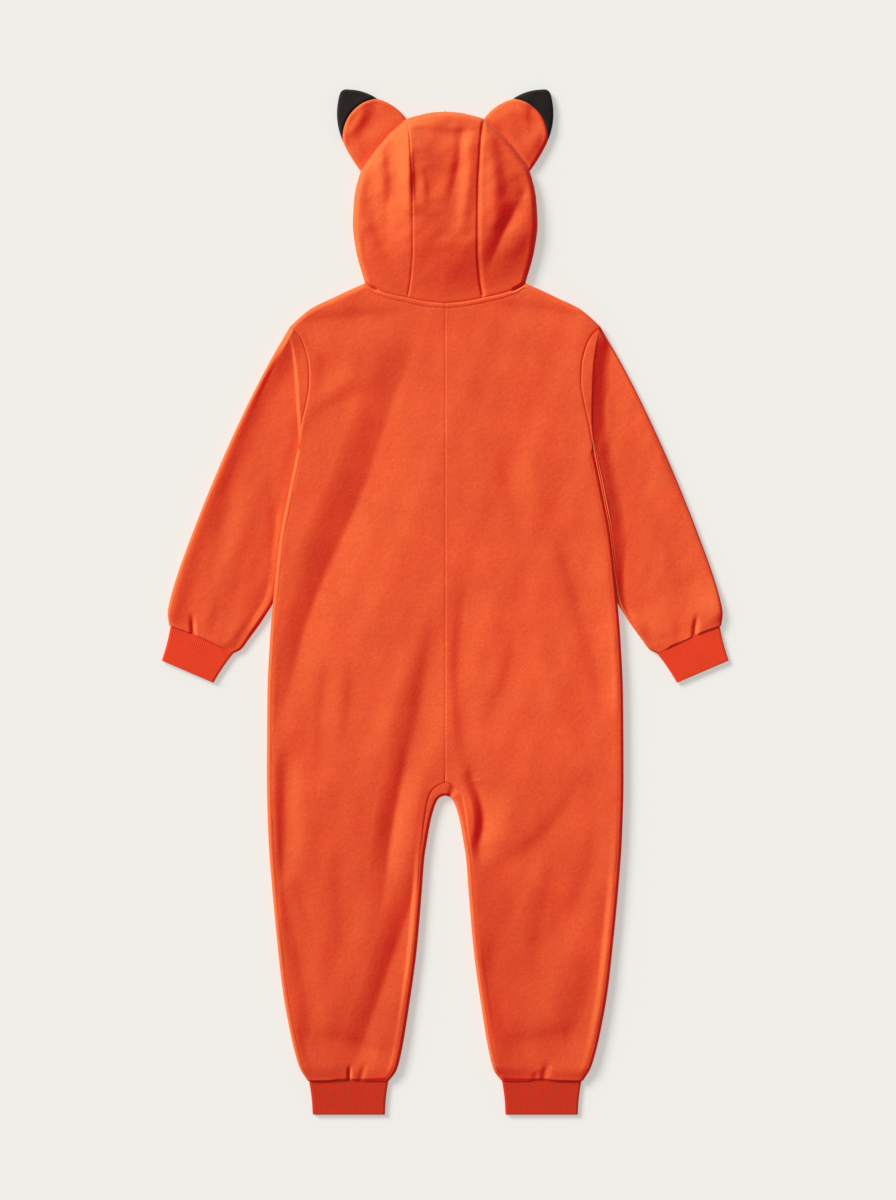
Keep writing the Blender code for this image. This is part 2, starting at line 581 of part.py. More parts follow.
def sleeve(side, finish):
    """Flattened tube: its first rings end along the armhole, the others at the inner fold."""
    on_edge = len(SLEEVE_EDGE_OUT)
    parts = np.concatenate([SLEEVE_EDGE_OUT, UNDERARM_OUT + (1 - UNDERARM_OUT) * SLEEVE_FOLD_PARTS])
    outside = polyline(SLEEVE_OUTSIDE, parts)
    edge = polyline(ARMHOLE, ARMHOLE_ROWS) + np.array((SEAM_GAP / 2, 0))
    inside = np.concatenate([edge[3:3 + on_edge], polyline(SLEEVE_INSIDE, SLEEVE_FOLD_PARTS)])
    outside[0] = edge[0]
    across = np.linspace(0, 1, 60)
    strips = {(depth, part): [] for depth in (0.0, FLEECE) for part in ("runs", "fold")}
    for row, part in enumerate(parts):
        line = blend(outside[row], inside[row], across)
        if row == 0:
            begun = np.interp(across * ARMHOLE_ROWS[3], ARMHOLE_ROWS, np.arange(len(ARMHOLE_ROWS)))
            line = np.column_stack([np.interp(begun, np.arange(len(edge)), edge[:, i])
                                    for i in (0, 1)])
        line = line + HEM_BOW * (4 * across * (1 - across) * part ** 8)[:, None]
        length = np.concatenate([[0], np.cumsum(np.hypot(*np.diff(line, axis=0).T))])
        hem = smoothstep((1 - part) / HEM_SHARE)
        out_height = HEM_LAY + (SLEEVE_FOLD - HEM_LAY) * hem
        in_height = HEM_LAY + (SLEEVE_TUCK - HEM_LAY) * hem
        folded = row >= on_edge
        end = length[-1] - (in_height / 2 if folded else 0)
        place = out_height / 2 + (end - out_height / 2) * SLEEVE_COLUMNS
        x = np.interp(place, length, line[:, 0])
        y = np.interp(place, length, line[:, 1])
        low = in_height if folded else LAY - SEAM_DIP
        lift = low + (LAY - low) * smoothstep((end - place) / SLEEVE_SLOPE)
        top = lift + (out_height - LAY) * np.exp(-(place / FOLD_REACH) ** 2)
        inner_fade = smoothstep((end - place) / EDGE_FADE)
        top = top + fold_height(FOLDS, side * x, y) * inner_fade * (row > 0)
        top = np.maximum(HEM_LAY + (top - HEM_LAY) * hem, 2 * FLEECE + LEAST_LAY)
        top[-1] = low
        for depth in (0.0, FLEECE):
            sections = tube_section(length[-1], out_height / 2, in_height / 2, end, top,
                                    SLEEVE_COLUMNS, depth)
            for kind, section in zip(("runs", "fold"), sections):
                if kind == "fold" and not folded:
                    continue
                plan = [np.interp(section[:, 0], length, line[:, i]) for i in (0, 1)]
                strips[depth, kind].append(np.column_stack([*plan, section[:, 1]]))
    outer = [np.array(strips[0.0, kind]) for kind in ("runs", "fold")]
    inner = [np.array(strips[FLEECE, kind]) for kind in ("runs", "fold")]
    return shell("sleeve_" + SIDES[side], outer, inner, finish, side)


def cuff(name, side, top, end, finish):
    """Short flattened tube of rib between two straight edges, a little drawn in halfway."""
    top = np.array(top) * MM
    end = np.array(end) * MM
    strips = {(depth, part): [] for depth in (0.0, RIB) for part in ("runs", "fold")}
    for part in CUFF_ROWS:
        draw = CUFF_DRAW * math.sin(math.pi * part)
        a = top[0] * (1 - part) + end[0] * part
        b = top[1] * (1 - part) + end[1] * part
        ahead = (b - a) / np.hypot(*(b - a))
        a, b = a + ahead * draw, b - ahead * draw
        length = np.hypot(*(b - a))
        height = CUFF_LAY - CUFF_TAPER * part
        for depth in (0.0, RIB):
            sections = tube_section(length, height / 2, height / 2, length - height / 2,
                                    np.full(len(CUFF_COLUMNS), height), CUFF_COLUMNS, depth)
            for kind, section in zip(("runs", "fold"), sections):
                strips[depth, kind].append(np.column_stack([a + ahead * section[:, :1],
                                                            section[:, 1]]))
    outer = [np.array(strips[0.0, kind]) for kind in ("runs", "fold")]
    inner = [np.array(strips[RIB, kind]) for kind in ("runs", "fold")]
    return shell(name + SIDES[side], outer, inner, finish, side)


def arch(part, power=HOOD_ARCH):
    """Quarter of a rounded square: 1 in the middle, 0 at the edge, where it is upright."""
    return (1 - np.clip(part, 0, 1) ** power) ** (1 / power)


def hood_height(x, y, side_of_folds=1):
    """Height of the hood's upper side above the floor."""
    half = along(HOOD_OUTLINE, np.clip(y, NECK_SIDE_Y, None))
    upper = arch((y - HOOD_CENTRE_Y) / (HOOD_TOP_Y - HOOD_CENTRE_Y) * (y > HOOD_CENTRE_Y))
    crown = HOOD_EDGE + (HOOD_HEIGHT - HOOD_EDGE) * upper
    dome = arch(np.abs(x) / np.maximum(half, 1e-6))
    full = HOOD_EDGE + (crown - HOOD_EDGE) * dome
    full = full + fold_height(HOOD_FOLDS, side_of_folds * x, y) * smoothstep(dome * 1.6)
    neck = along(NECK_BACK, np.clip(np.abs(x), 0, NECK_SIDE_X), key=1)
    above = smoothstep((y - neck) / HOOD_RISE)
    corner = arch((np.abs(x) - (NECK_SIDE_X - FOLD / 2)) / (FOLD / 2), NECK_ARCH)
    low = FOLD / 2 + (LAY - SEAM_DIP - FOLD / 2) * corner
    return low + (full - low) * above


def hood_under(edge, target, height):
    """From the outermost edge round to the floor and along it to the opening's edge."""
    run = target - edge
    length = np.hypot(*run)
    ahead = run / length
    reach = HOOD_UNDER * height
    inward = reach * (1 - np.cos(UNDER_TURN))
    curl = np.column_stack([edge + ahead * inward[:, None], height * (1 - np.sin(UNDER_TURN))])
    rest = np.linspace(reach, length, HOOD_FLOOR_STEPS + 1)[1:]
    floor = np.column_stack([edge + ahead * rest[:, None], np.zeros(HOOD_FLOOR_STEPS)])
    return np.concatenate([curl, floor])


def hood_lines():
    """Seam, outline and opening edge at each row of a hood side, as plan points."""
    seam = polyline(HOOD_SEAM, HOOD_ROWS)
    neck_to_ear = HOOD_OUTLINE[:10]
    outline = polyline(neck_to_ear, HOOD_ROWS ** 0.9)
    opening = polyline(FACE_EDGE, HOOD_ROWS)
    return seam, outline, opening


def edge_height(part):
    """Height of the outermost edge: low at the neck, higher round the head."""
    return FOLD / 2 + (HOOD_EDGE - FOLD / 2) * smoothstep(part / HOOD_EDGE_RISE)


def hood_side(side, finish):
    """Side panel of the hood: over the top from its seam, round the rim and in underneath."""
    seam, outline, opening = hood_lines()
    collar = top_edge(BODY_COLUMNS, NECK_BACK)[BODY_COLUMNS >= SHOULDER_SHARE][::-1]
    even = np.linspace(0, 1, len(HOOD_TURN))
    neck_x = blend(seam[:1], outline[:1], even)[:, 0]
    neck = np.column_stack([neck_x, np.interp(neck_x, collar[:, 0], collar[:, 1])])
    scoop = top_edge(FRONT_COLUMNS, NECK_FRONT)[FRONT_COLUMNS >= SHOULDER_SHARE]
    scoop_length = np.concatenate([[0], np.cumsum(np.hypot(*np.diff(scoop, axis=0).T))])
    grid = []
    for row, part in enumerate(HOOD_ROWS):
        start = seam[row] + np.array((SEAM_GAP / 2, 0))
        turn = HOOD_TURN + (even - HOOD_TURN) * (1 - part) ** NECK_EASE
        plan = blend(start, outline[row], turn)
        straight = blend(neck[0], neck[-1], turn)
        plan = plan + (neck - straight) * (1 - part) ** NECK_EASE
        height = hood_height(plan[:, 0], plan[:, 1], side)
        height[-1] = edge_height(part)
        height[0] -= SEAM_DIP * smoothstep(part / 0.1)
        upper = np.column_stack([plan, height])
        under = hood_under(outline[row], opening[row], edge_height(part))
        if row == 0:
            place = np.hypot(*(under[:, :2] - outline[0]).T)
            place = place / place[-1] * scoop_length[-1]
            under[:, :2] = np.column_stack([np.interp(place, scoop_length, scoop[:, i])
                                            for i in (0, 1)])
        line = np.concatenate([upper, under])
        line[:, 1] += SEAM_GAP / 2
        grid.append(line)
    grid = np.array(grid)
    last = len(HOOD_TURN) - 1
    rims = [Rim(np.concatenate([grid[:, 0], grid[-1, 1:]]), "upright"),
            Rim(grid[:, -1], "upright"), Rim(grid[0, :last + 1], "upright"),
            Rim(grid[0, last + 1:], "upright")]
    return wall("hood_side_" + SIDES[side], [grid], FLEECE, finish, side, None, rims)


def hood_centre(finish):
    """Middle panel of the hood: from the neck over the crown and in underneath to the brow."""
    seam, outline, opening = hood_lines()
    across = np.linspace(-1, 1, 9)
    top_line = blend(seam[-1], outline[-1], HOOD_TURN)
    grid = []
    collar = top_edge(BODY_COLUMNS, NECK_BACK)[BODY_COLUMNS >= SHOULDER_SHARE][::-1]
    neck_y = np.interp(np.abs(across) * seam[0, 0], collar[:, 0], collar[:, 1])
    crown_y = along(HOOD_OUTLINE[9:], np.abs(across) * outline[-1, 0], key=1)
    for row, part in enumerate(HOOD_ROWS):
        x = across * (seam[row, 0] - SEAM_GAP / 2)
        y = seam[row, 1] + (neck_y - seam[0, 1]) * (1 - part) ** CROWN_EASE
        y = y + (crown_y - outline[-1, 1]) * part ** CROWN_EASE * CROWN_BOW
        height = hood_height(x, y)
        ends = np.abs(across) == 1
        height = height - SEAM_DIP * ends * smoothstep(part / 0.1)
        grid.append(np.column_stack([x, y, height]))
    last_y = grid[-1][:, 1]
    for share, place in zip(HOOD_TURN[1:], top_line[1:]):
        x = across * (place[0] - SEAM_GAP / 2)
        y = last_y + (crown_y - last_y) * share
        height = hood_height(x, y)
        if share == 1:
            height = np.full(len(x), HOOD_EDGE)
        grid.append(np.column_stack([x, y, height]))
    edge = outline[-1]
    under = hood_under(edge, opening[-1], HOOD_EDGE)
    for step in under:
        moved = (edge[1] - step[1]) / (edge[1] - opening[-1, 1])
        x = across * (step[0] - SEAM_GAP / 2)
        y = crown_y + (HOOD_BROW_Y - crown_y) * moved
        grid.append(np.column_stack([x, y, np.full(len(x), step[2])]))
    grid = np.array(grid)
    grid[..., 1] += SEAM_GAP / 2
    rims = [Rim(grid[:, 0], "upright"), Rim(grid[:, -1], "upright"), Rim(grid[0], "upright"),
            Rim(grid[-1], (0, 1))]
    return wall("hood_centre", [grid], FLEECE, finish, 1, None, rims)


def ear_plan(region, across, rows_here):
    """Plan of an ear's round part or of its tip, from the outer edge to the upper one."""
    turn = EAR_TURN[0] + EAR_TURN[1] * across
    way = np.column_stack([np.cos(turn), np.sin(turn)])
    seam = EAR_CENTRE + EAR_RADIUS * way
    if region == "round":
        base = polyline(HOOD_OUTLINE[4:10], across) + EAR_GAP * EAR_OUT
        start, end = base, seam - 0.5 * SEAM_GAP * way
    else:
        tip_turn = EAR_TIP_TURN[0] + EAR_TIP_TURN[1] * across
        tip = EAR_TIP + EAR_TIP_ROUND * np.column_stack([np.cos(tip_turn), np.sin(tip_turn)])
        start, end = seam + 0.5 * SEAM_GAP * way, tip
    bows = EAR_BOWS[region]
    plan = blend(start[None], end[None], rows_here[:, None])
    bow = bows[0] * (1 - across)[:, None] + bows[1] * across[:, None]
    return plan + (4 * rows_here * (1 - rows_here))[:, None, None] * bow


def ear_outline():
    """Outermost edge of a whole ear as one line, from its foot round the tip and back."""
    fine = np.linspace(0, 1, 40)
    lower_round, upper_round = (ear_plan("round", np.array((0.0, 1.0)), fine)[:, i] for i in (0, 1))
    lower_tip, upper_tip = (ear_plan("tip", np.array((0.0, 1.0)), fine)[:, i] for i in (0, 1))
    end = ear_plan("tip", fine, np.array((1.0,)))[0]
    return np.concatenate([lower_round, lower_tip, end, upper_tip[::-1], upper_round[::-1]])


def from_outline(plan, line):
    """Distance of each point from an outline drawn anticlockwise, and the way straight in."""
    start, run = line[:-1], np.diff(line, axis=0)
    keep = np.hypot(*run.T) > 1e-7
    start, run = start[keep], run[keep]
    gap = plan[..., None, :] - start
    part = np.clip((gap * run).sum(-1) / (run ** 2).sum(-1), 0, 1)
    inward = plan[..., None, :] - start - part[..., None] * run
    distance = np.linalg.norm(inward, axis=-1)
    pick = distance.argmin(-1)
    distance = np.take_along_axis(distance, pick[..., None], -1)
    inward = np.take_along_axis(inward, pick[..., None, None], -2)[..., 0, :]
    across = np.stack([-run[pick, 1], run[pick, 0]], axis=-1)
    across /= np.linalg.norm(across, axis=-1, keepdims=True)
    inward = np.where(distance > EAR_NEAR, inward / np.maximum(distance, 1e-9), across)
    return distance[..., 0], inward


def ear_piece(name, region, side, upward, finish):
    """One layer of an ear: a shallow dish whose edges turn down, or up, to the other layer's."""
    across = EAR_COLUMNS
    plan = ear_plan(region, across, EAR_ROWS[region])
    distance, inward = from_outline(plan, ear_outline())
    middle = EAR_THICK / 2
    flat = 1 - np.clip(distance / middle, 0, 1)
    seam = 0 if region == "tip" else -1
    along_seam = np.gradient(plan[seam], axis=0)
    along_seam /= np.linalg.norm(along_seam, axis=1, keepdims=True)
    inward[seam] = along_seam * np.where(across < 0.5, 1, -1)[:, None]
    upright = np.sqrt(1 - flat ** 2)
    surfaces = []
    for depth in (0.0, FLEECE):
        height = SEAM_GAP / 2 + (middle - SEAM_GAP / 2 - depth) * upright
        z = middle + height if upward else middle - height
        surfaces.append([np.dstack([plan + inward * (flat * depth)[..., None], z])])
    return shell(name + SIDES[side], *surfaces, finish, side)


def block(name, low, high, finish):
    """Box between two corners."""
    corners = [(x, y, z) for z in (low[2], high[2]) for y in (low[1], high[1])
               for x in (low[0], high[0])]
    faces = [(0, 2, 3, 1), (4, 5, 7, 6), (0, 1, 5, 4), (2, 6, 7, 3), (0, 4, 6, 2), (1, 3, 7, 5)]
    mesh = bpy.data.meshes.new(name)
    mesh.from_pydata(corners, [], faces)
    mesh.materials.append(finish)
    made = bpy.data.objects.new(name, mesh)
    bpy.context.scene.collection.objects.link(made)
    return made


def helper(made):
    """Keep a solid that only shapes another one out of the part."""
    made.hide_render = True
    made.display_type = "WIRE"
    return made


def join_to(base, *extras):
    """Boolean union of small solids onto a base."""
    for extra in extras:
        union = base.modifiers.new("join_" + extra.name, "BOOLEAN")
        union.operation = "UNION"
        union.object = helper(extra)


def zip_parts(metal, tape):
    """Closed zip in the front opening: two tapes, the slider at the neck, and its pull tab."""
    base = FLEECE + SEAM_GAP
    for side, name in SIDES.items():
        low_x, high_x = sorted((side * SEAM_GAP / 2, side * TAPE_WIDTH))
        block("zip_tape_" + name, (low_x, ZIP_END_Y - TAPE_ENDS[0], base),
              (high_x, NECK_FRONT_Y - TAPE_ENDS[1], base + TAPE), tape)
    slider = block("zip_slider", SLIDER_LOW, SLIDER_HIGH, metal)
    lugs = []
    for side, name in SIDES.items():
        low_x, high_x = sorted((side * LUG_INNER, side * LUG_OUTER))
        lugs.append(block("lug_" + name, (low_x, LUG_Y[0], LUG_Z[0]), (high_x, LUG_Y[1], LUG_Z[1]),
                          metal))
    join_to(slider, *lugs)
    end_y = PULL_AXIS_Y - PULL_LONG
    pull = block("zip_pull", (-PULL_HALF[0], end_y, PULL_AXIS_Z - PULL_HALF[1]),
                 (PULL_HALF[0], PULL_AXIS_Y, PULL_AXIS_Z + PULL_HALF[1]), metal)
    grip = block("pull_grip", (-GRIP_HALF[0], end_y, PULL_AXIS_Z - GRIP_HALF[1]),
                 (GRIP_HALF[0], PULL_AXIS_Y - GRIP_START, PULL_AXIS_Z + GRIP_HALF[1]), metal)
    bpy.ops.mesh.primitive_cylinder_add(vertices=16, radius=PULL_PIN, depth=PULL_PIN_LONG,
                                        location=(0, PULL_AXIS_Y, PULL_AXIS_Z),
                                        rotation=(0, math.pi / 2, 0))
    pin = bpy.context.object
    pin.name = "pull_pin"
    join_to(pull, grip, pin)


def clear_scene():
    """Start from nothing."""
    for old in list(bpy.data.objects):
        bpy.data.objects.remove(old, do_unlink=True)


def main():
    """Make every piece, named by its side."""
    clear_scene()
    fleece = material("fleece", (0.85, 0.11, 0.03), 0.9)
    rib = material("rib", (0.66, 0.045, 0.015), 0.85)
    black = material("black_fleece", (0.018, 0.014, 0.013), 0.85)
    tape = material("zip_tape", (0.66, 0.06, 0.02), 0.8)
    metal = material("zip_metal", (0.62, 0.61, 0.58), 0.35, 1.0)
    for side, name in SIDES.items():
        back_panel(side, fleece)
        front_panel(side, fleece)
        sleeve(side, fleece)
        cuff("wrist_cuff_", side, WRIST_TOP, WRIST_END, rib)
        cuff("ankle_cuff_", side, ANKLE_TOP, ANKLE_END, rib)
        hood_side(side, fleece)
        ear_piece("ear_back_", "round", side, True, fleece)
        ear_piece("ear_tip_back_", "tip", side, True, black)
        ear_piece("ear_front_", "round", side, False, fleece)
        ear_piece("ear_tip_front_", "tip", side, False, black)
    hood_centre(fleece)
    zip_parts(metal, tape)


main()
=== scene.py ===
# %% [markdown]
# # A child's hooded onesie in fleece, laid flat on its front
#
# The suit is sewn from thirteen panels of orange fleece and four black ear tips, with rib cuffs
# at the wrists and ankles. It lies with its back up, so what shows is the two back panels, the
# sleeves, the hood in three panels and the backs of two ears. The outlines below are the packed
# solids' own, except that the sleeves' inner folds run 4 to 6 mm further in over most of their
# length. Heights are worked out afresh and differ from the solids' by up to about 6 mm: the
# sleeves lie some 4 mm lower. Each panel is dressed with a thin shell of its own, worked out with
# numpy as a function of two parameters: one across it and one down it.

# %% Load the frame
import bpy
import math
from collections import namedtuple

import numpy as np
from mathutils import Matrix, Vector


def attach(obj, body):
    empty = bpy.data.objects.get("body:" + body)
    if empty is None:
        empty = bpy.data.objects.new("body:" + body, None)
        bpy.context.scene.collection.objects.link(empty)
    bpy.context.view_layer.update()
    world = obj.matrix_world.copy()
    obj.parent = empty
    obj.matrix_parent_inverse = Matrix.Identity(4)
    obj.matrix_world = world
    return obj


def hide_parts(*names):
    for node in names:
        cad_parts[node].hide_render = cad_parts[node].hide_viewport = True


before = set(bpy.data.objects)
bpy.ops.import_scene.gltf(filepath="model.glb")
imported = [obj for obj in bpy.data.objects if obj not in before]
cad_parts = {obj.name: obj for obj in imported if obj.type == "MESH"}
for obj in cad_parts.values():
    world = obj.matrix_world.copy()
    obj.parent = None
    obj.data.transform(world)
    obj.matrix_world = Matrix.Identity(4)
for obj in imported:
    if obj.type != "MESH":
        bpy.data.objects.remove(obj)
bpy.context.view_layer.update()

# %% [markdown]
# ## The camera
#
# The suit is seen from straight above, as from a copy stand, with the head at the top. A long
# lens three metres up keeps the edges of the cloth from leaning outwards.

# %% Camera
MM = 0.001
FRAME_HIGH = 1200
SCALE = 1.15 * MM
CAMERA_UP = 3.0
view_high = FRAME_HIGH * SCALE
camera_data = bpy.data.cameras.new("copy_stand")
camera_data.sensor_width = 36
camera_data.lens = 18 / (view_high / 2 / CAMERA_UP)
camera = bpy.data.objects.new("copy_stand", camera_data)
camera.location = (3.2 * MM, 2.3 * MM, CAMERA_UP)
bpy.context.scene.collection.objects.link(camera)
bpy.context.scene.camera = camera
print("lens", round(camera_data.lens, 1), "mm, view", round(view_high, 3), "m high")

# %% [markdown]
# ## Measures of the suit
#
# A pattern cutter works from half widths at a row of heights. The tables below hold them in
# millimetres, as (y, x) pairs from the head down, and a limited cubic curve joins the rows
# without overshooting, the way a draughtsman's curve does.

# %% Sizes and outlines
FLEECE = 2.6 * MM
RIB = 2.2 * MM
LAY = 12.3 * MM
FOLD = 13.8 * MM
EDGE = {-1: 12.0 * MM, 1: 13.5 * MM}
FOLD_REACH = 18 * MM
EDGE_REACH = 5.0 * MM
HEM_LAY = 10.6 * MM
HEM_SEAM = 8.2 * MM
CUFF_LAY = 6.6 * MM
SEAM_LAP = 0.35 * MM
SIDE_SEAM_INSET = 5.6 * MM
CROTCH_SEAM_Y = -206.6 * MM
CROTCH_FOLD_Y = -222.2 * MM
HEM_Y = -549.7 * MM
UNDERARM_Y = 183 * MM
CHEST_Y = 181 * MM
NECK_BACK_Y = 342 * MM
NECK_FRONT_Y = 300 * MM
NECK_SIDE_X = 92 * MM
ZIP_GAP = 5.3 * MM
ZIP_END_Y = -130 * MM


def rows(*pairs):
    """A table in millimetres as an array of metres, one (y, x) row for each height."""
    return np.array(pairs, float) * MM


SHOULDER = rows((365.6, 92), (357, 112), (350, 126.5), (337, 153.5), (329, 164), (315.5, 178.5))
ARMHOLE = rows((315.5, 178.5), (305, 168), (290, 160.8), (270, 156.4), (250, 155.8),
               (232, 158.3), (207, 164), (183, 168))
BODY_SIDE = rows((183, 168), (124, 180.3), (78, 189.2), (31, 194.7), (-45, 201.3), (-110, 204.2),
                 (-202, 204.7), (-268, 203), (-334, 198.2), (-386, 193.2), (-445, 186.6),
                 (-496, 177.5), (-518, 172.3), (-535, 166.8), (-549.7, 158))
LEG_INSIDE = rows((-222.2, 0.0), (-223.5, 4.5), (-227, 8.6), (-240, 13.8), (-254, 17.3),
                  (-274, 20.8), (-294, 23.9), (-331, 26.7), (-400, 32.7), (-469, 42.2),
                  (-514, 49.7), (-538, 56), (-549.7, 64.6))
SLEEVE_OUTSIDE = rows((315.5, 178.5), (272, 203.5), (222, 229), (155, 259.5), (78, 290.5),
                      (25, 309.5), (3, 315.7), (-14, 318.6), (-27.2, 317))
SLEEVE_INSIDE = rows((182, 165.2), (160, 169.6), (124, 177.2), (78, 185.9), (31, 191.6),
                     (4, 196), (-18, 208.0), (-44, 226.5), (-54.5, 234.5), (-59, 243))
SLEEVE_CREASE = {-1: rows((316, 183), (300, 177), (265, 171.7), (222, 168.7), (193, 167),
                          (176, 169.6), (115, 182.2), (61, 191.4), (25, 195.5), (-40, 203)),
                 1: rows((316, 180), (302, 174.5), (265, 169.5), (208, 167.8), (173, 172.3),
                         (108, 184.5), (48, 193.4), (3, 197.6), (-40, 203))}
NECK_BACK = rows((342, 0), (344, 20), (348.5, 43), (353.5, 66), (359, 81), (365.6, 92))
NECK_FRONT = rows((300, 5.3), (307, 22), (322, 48), (345, 78), (365.6, 92))
CROTCH_INSET = rows((0, 15.4), (11, 10.8), (25, 8.2), (41, 6.6), (60, 5.8), (400, 5.6))
HOOD_OUTLINE = rows((365.6, 92), (403.7, 102.3), (432.4, 105.8), (460, 104.5), (493.8, 96.8),
                    (507, 88.2), (522, 77), (537, 64), (547.4, 52.4), (553.7, 44.5),
                    (558.6, 28), (561.4, 14), (562.3, 0))
HOOD_SEAM = rows((348.5, 43), (370, 39.5), (404, 37), (470, 37.4), (505, 39), (525, 40.2),
                 (545, 42.5))
FACE_EDGE = rows((300, 5.3), (330, 24), (370, 41), (420, 50), (470, 50), (510, 44), (535, 40))
WRIST_BOW = np.array((1.2, 2.6)) * MM
WRIST_TOP, WRIST_END = ((315.6, -27.9), (244, -60.2)), ((325.5, -67.2), (266.2, -92.7))
ANKLE_TOP, ANKLE_END = ((156.6, -550), (65, -550)), ((152.2, -588.6), (69.2, -588.6))
SIDES = {-1: "left", 1: "right"}


def along(table, at, key=0):
    """Smooth curve through a table's rows: cubic, with slopes limited by the harmonic mean."""
    order = np.argsort(table[:, key])
    known, value = table[order, key], table[order, 1 - key]
    step = np.diff(known)
    slope = np.diff(value) / step
    joined = np.zeros(len(known))
    same = slope[1:] * slope[:-1] > 0
    joined[1:-1][same] = (2 * slope[1:] * slope[:-1] / (slope[1:] + slope[:-1] + 1e-30))[same]
    joined[0], joined[-1] = slope[0], slope[-1]
    at = np.clip(np.asarray(at, float), known[0], known[-1])
    cell = np.clip(np.searchsorted(known, at) - 1, 0, len(step) - 1)
    part = (at - known[cell]) / step[cell]
    rest = 1 - part
    return (value[cell] * (1 + 2 * part) * rest ** 2 + value[cell + 1] * (3 - 2 * part) * part ** 2
            + step[cell] * (joined[cell] * part * rest ** 2 - joined[cell + 1] * rest * part ** 2))


def polyline(table, fractions, count=900):
    """Points (x, y) at fractions of the length of the smooth curve through a table's rows."""
    known = np.concatenate([[0], np.cumsum(np.hypot(*np.diff(table, axis=0).T))])
    fine = np.linspace(0, known[-1], count)
    y = along(np.column_stack([known, table[:, 0]]), fine)
    x = along(np.column_stack([known, table[:, 1]]), fine)
    length = np.concatenate([[0], np.cumsum(np.hypot(np.diff(x), np.diff(y)))])
    at = np.asarray(fractions, float) * length[-1]
    return np.stack([np.interp(at, length, x), np.interp(at, length, y)], axis=-1)


def smoothstep(value):
    """0 below 0, 1 above 1, and 3v^2 - 2v^3 between them."""
    value = np.clip(value, 0, 1)
    return value * value * (3 - 2 * value)


def blend(start, end, part):
    """Straight mix of two sets of points: start where part is 0, end where it is 1."""
    part = np.asarray(part)[..., None]
    return start * (1 - part) + end * part


print("suit", round(2 * BODY_SIDE[:, 1].max() / MM), "mm wide at the hips")

# %% [markdown]
# ## Soft folds
#
# Thick fleece doesn't crease. It settles into shallow troughs and rounded ridges a centimetre or
# two wide that run from where the cloth is held, at the armholes, the crotch and the hems. Each
# is written down as a bowed line with a width and a depth, so that it can be moved as a maker
# would smooth the cloth by hand. A cloth simulation would give other folds each time.

# %% Folds
Fold = namedtuple("Fold", "x0 y0 x1 y1 bow width depth far sharp", defaults=[2.3, 0])
BODY_FOLDS = [
    Fold(-44, 272, -97, 121, 0, 38, -4.6, 2.2, 3.5),
    Fold(-97, 121, -142, 20, 0, 40, -5.8, 2.0, 2.2),
    Fold(-142, 20, -177, -96, -3, 24, -4.0, 3.0, 2.2),
    Fold(-84, 250, -158, 214, -3, 12, -1.0),
    Fold(-116, 262, -160, 224, 0, 12, 0.8),
    Fold(-142, 290, -142, 258, 0, 8, -1.2),
    Fold(-166, 322, -66, 331, 2, 9, -1.9),
    Fold(50, 342, 140, 330, 2, 8, -1.6),
    Fold(60, 178, 76, 112, 0, 12, -1.5),
    Fold(92, 168, 100, 105, 0, 14, 1.2),
    Fold(96, 103, 140, 50, 4, 12, -1.4),
    Fold(130, 62, 158, -32, 3, 11, -2.0),
    Fold(158, -32, 176, -108, 2, 11, -1.6),
    Fold(20, 14, 21, -172, -9, 9, -2.2),
    Fold(76, -36, 48, -124, 6, 11, -1.8),
    Fold(100, -60, 134, -150, 4, 13, 0.9),
    Fold(-20, -28, -48, -190, 2, 11, -2.4),
    Fold(-46, -185, -68, -318, -2, 20, -4.2, 1.2, 2.0),
    Fold(-52, -62, -74, -150, 0, 15, 1.2),
    Fold(-110, -60, -120, -165, 3, 9, -1.2),
    Fold(-140, -85, -146, -180, -2, 8, -1.1),
    Fold(-187, -180, -187, -300, 0, 8, -3.2, 1.8),
    Fold(-186, -332, -158, -497, 3, 10, -2.0, 1.8),
    Fold(-168, -330, -154, -376, 0, 8, -1.2),
    Fold(-158, -496, -85, -513, 4, 12, -2.6),
    Fold(-27, -312, -92, -500, 0, 23, -3.8, 2.6, 2.5),
    Fold(-127, -285, -122, -385, 0, 12, -1.6),
    Fold(31, -206, 39, -278, 8, 10, -5.6, 3.0, 1.8),
    Fold(2, -213, 4, -221, 0, 2.5, -3.0),
    Fold(151, -200, 62, -298, 12, 11, -1.6),
    Fold(166, -256, 114, -380, 14, 15, -1.8),
    Fold(88, -330, 132, -350, 0, 14, -1.5),
    Fold(184, -330, 130, -505, 10, 16, -2.4),
    Fold(49, -385, 88, -516, -14, 14, -1.6),
    Fold(76, -502, 128, -494, 0, 10, -1.4),
    Fold(118, -300, 96, -420, 0, 12, -1.2),
]
SLEEVE_FOLDS = [
    Fold(-203, 280, -251, 140, 0, 11, -1.6),
    Fold(-250, 142, -268, 70, 2, 11, -1.2),
    Fold(-202, 135, -197, 40, 2, 8, -1.2),
    Fold(-232, 120, -262, 20, 3, 11, 0.8),
    Fold(-203, 26, -237, -49, 0, 9, -1.4),
    Fold(-262, 0, -270, -40, 0, 8, -1.1),
    Fold(238, 108, 272, 12, 4, 11, -1.2),
    Fold(222, 200, 250, 110, 4, 14, 0.7),
    Fold(262, -6, 268, -40, 0, 8, -1.1),
]
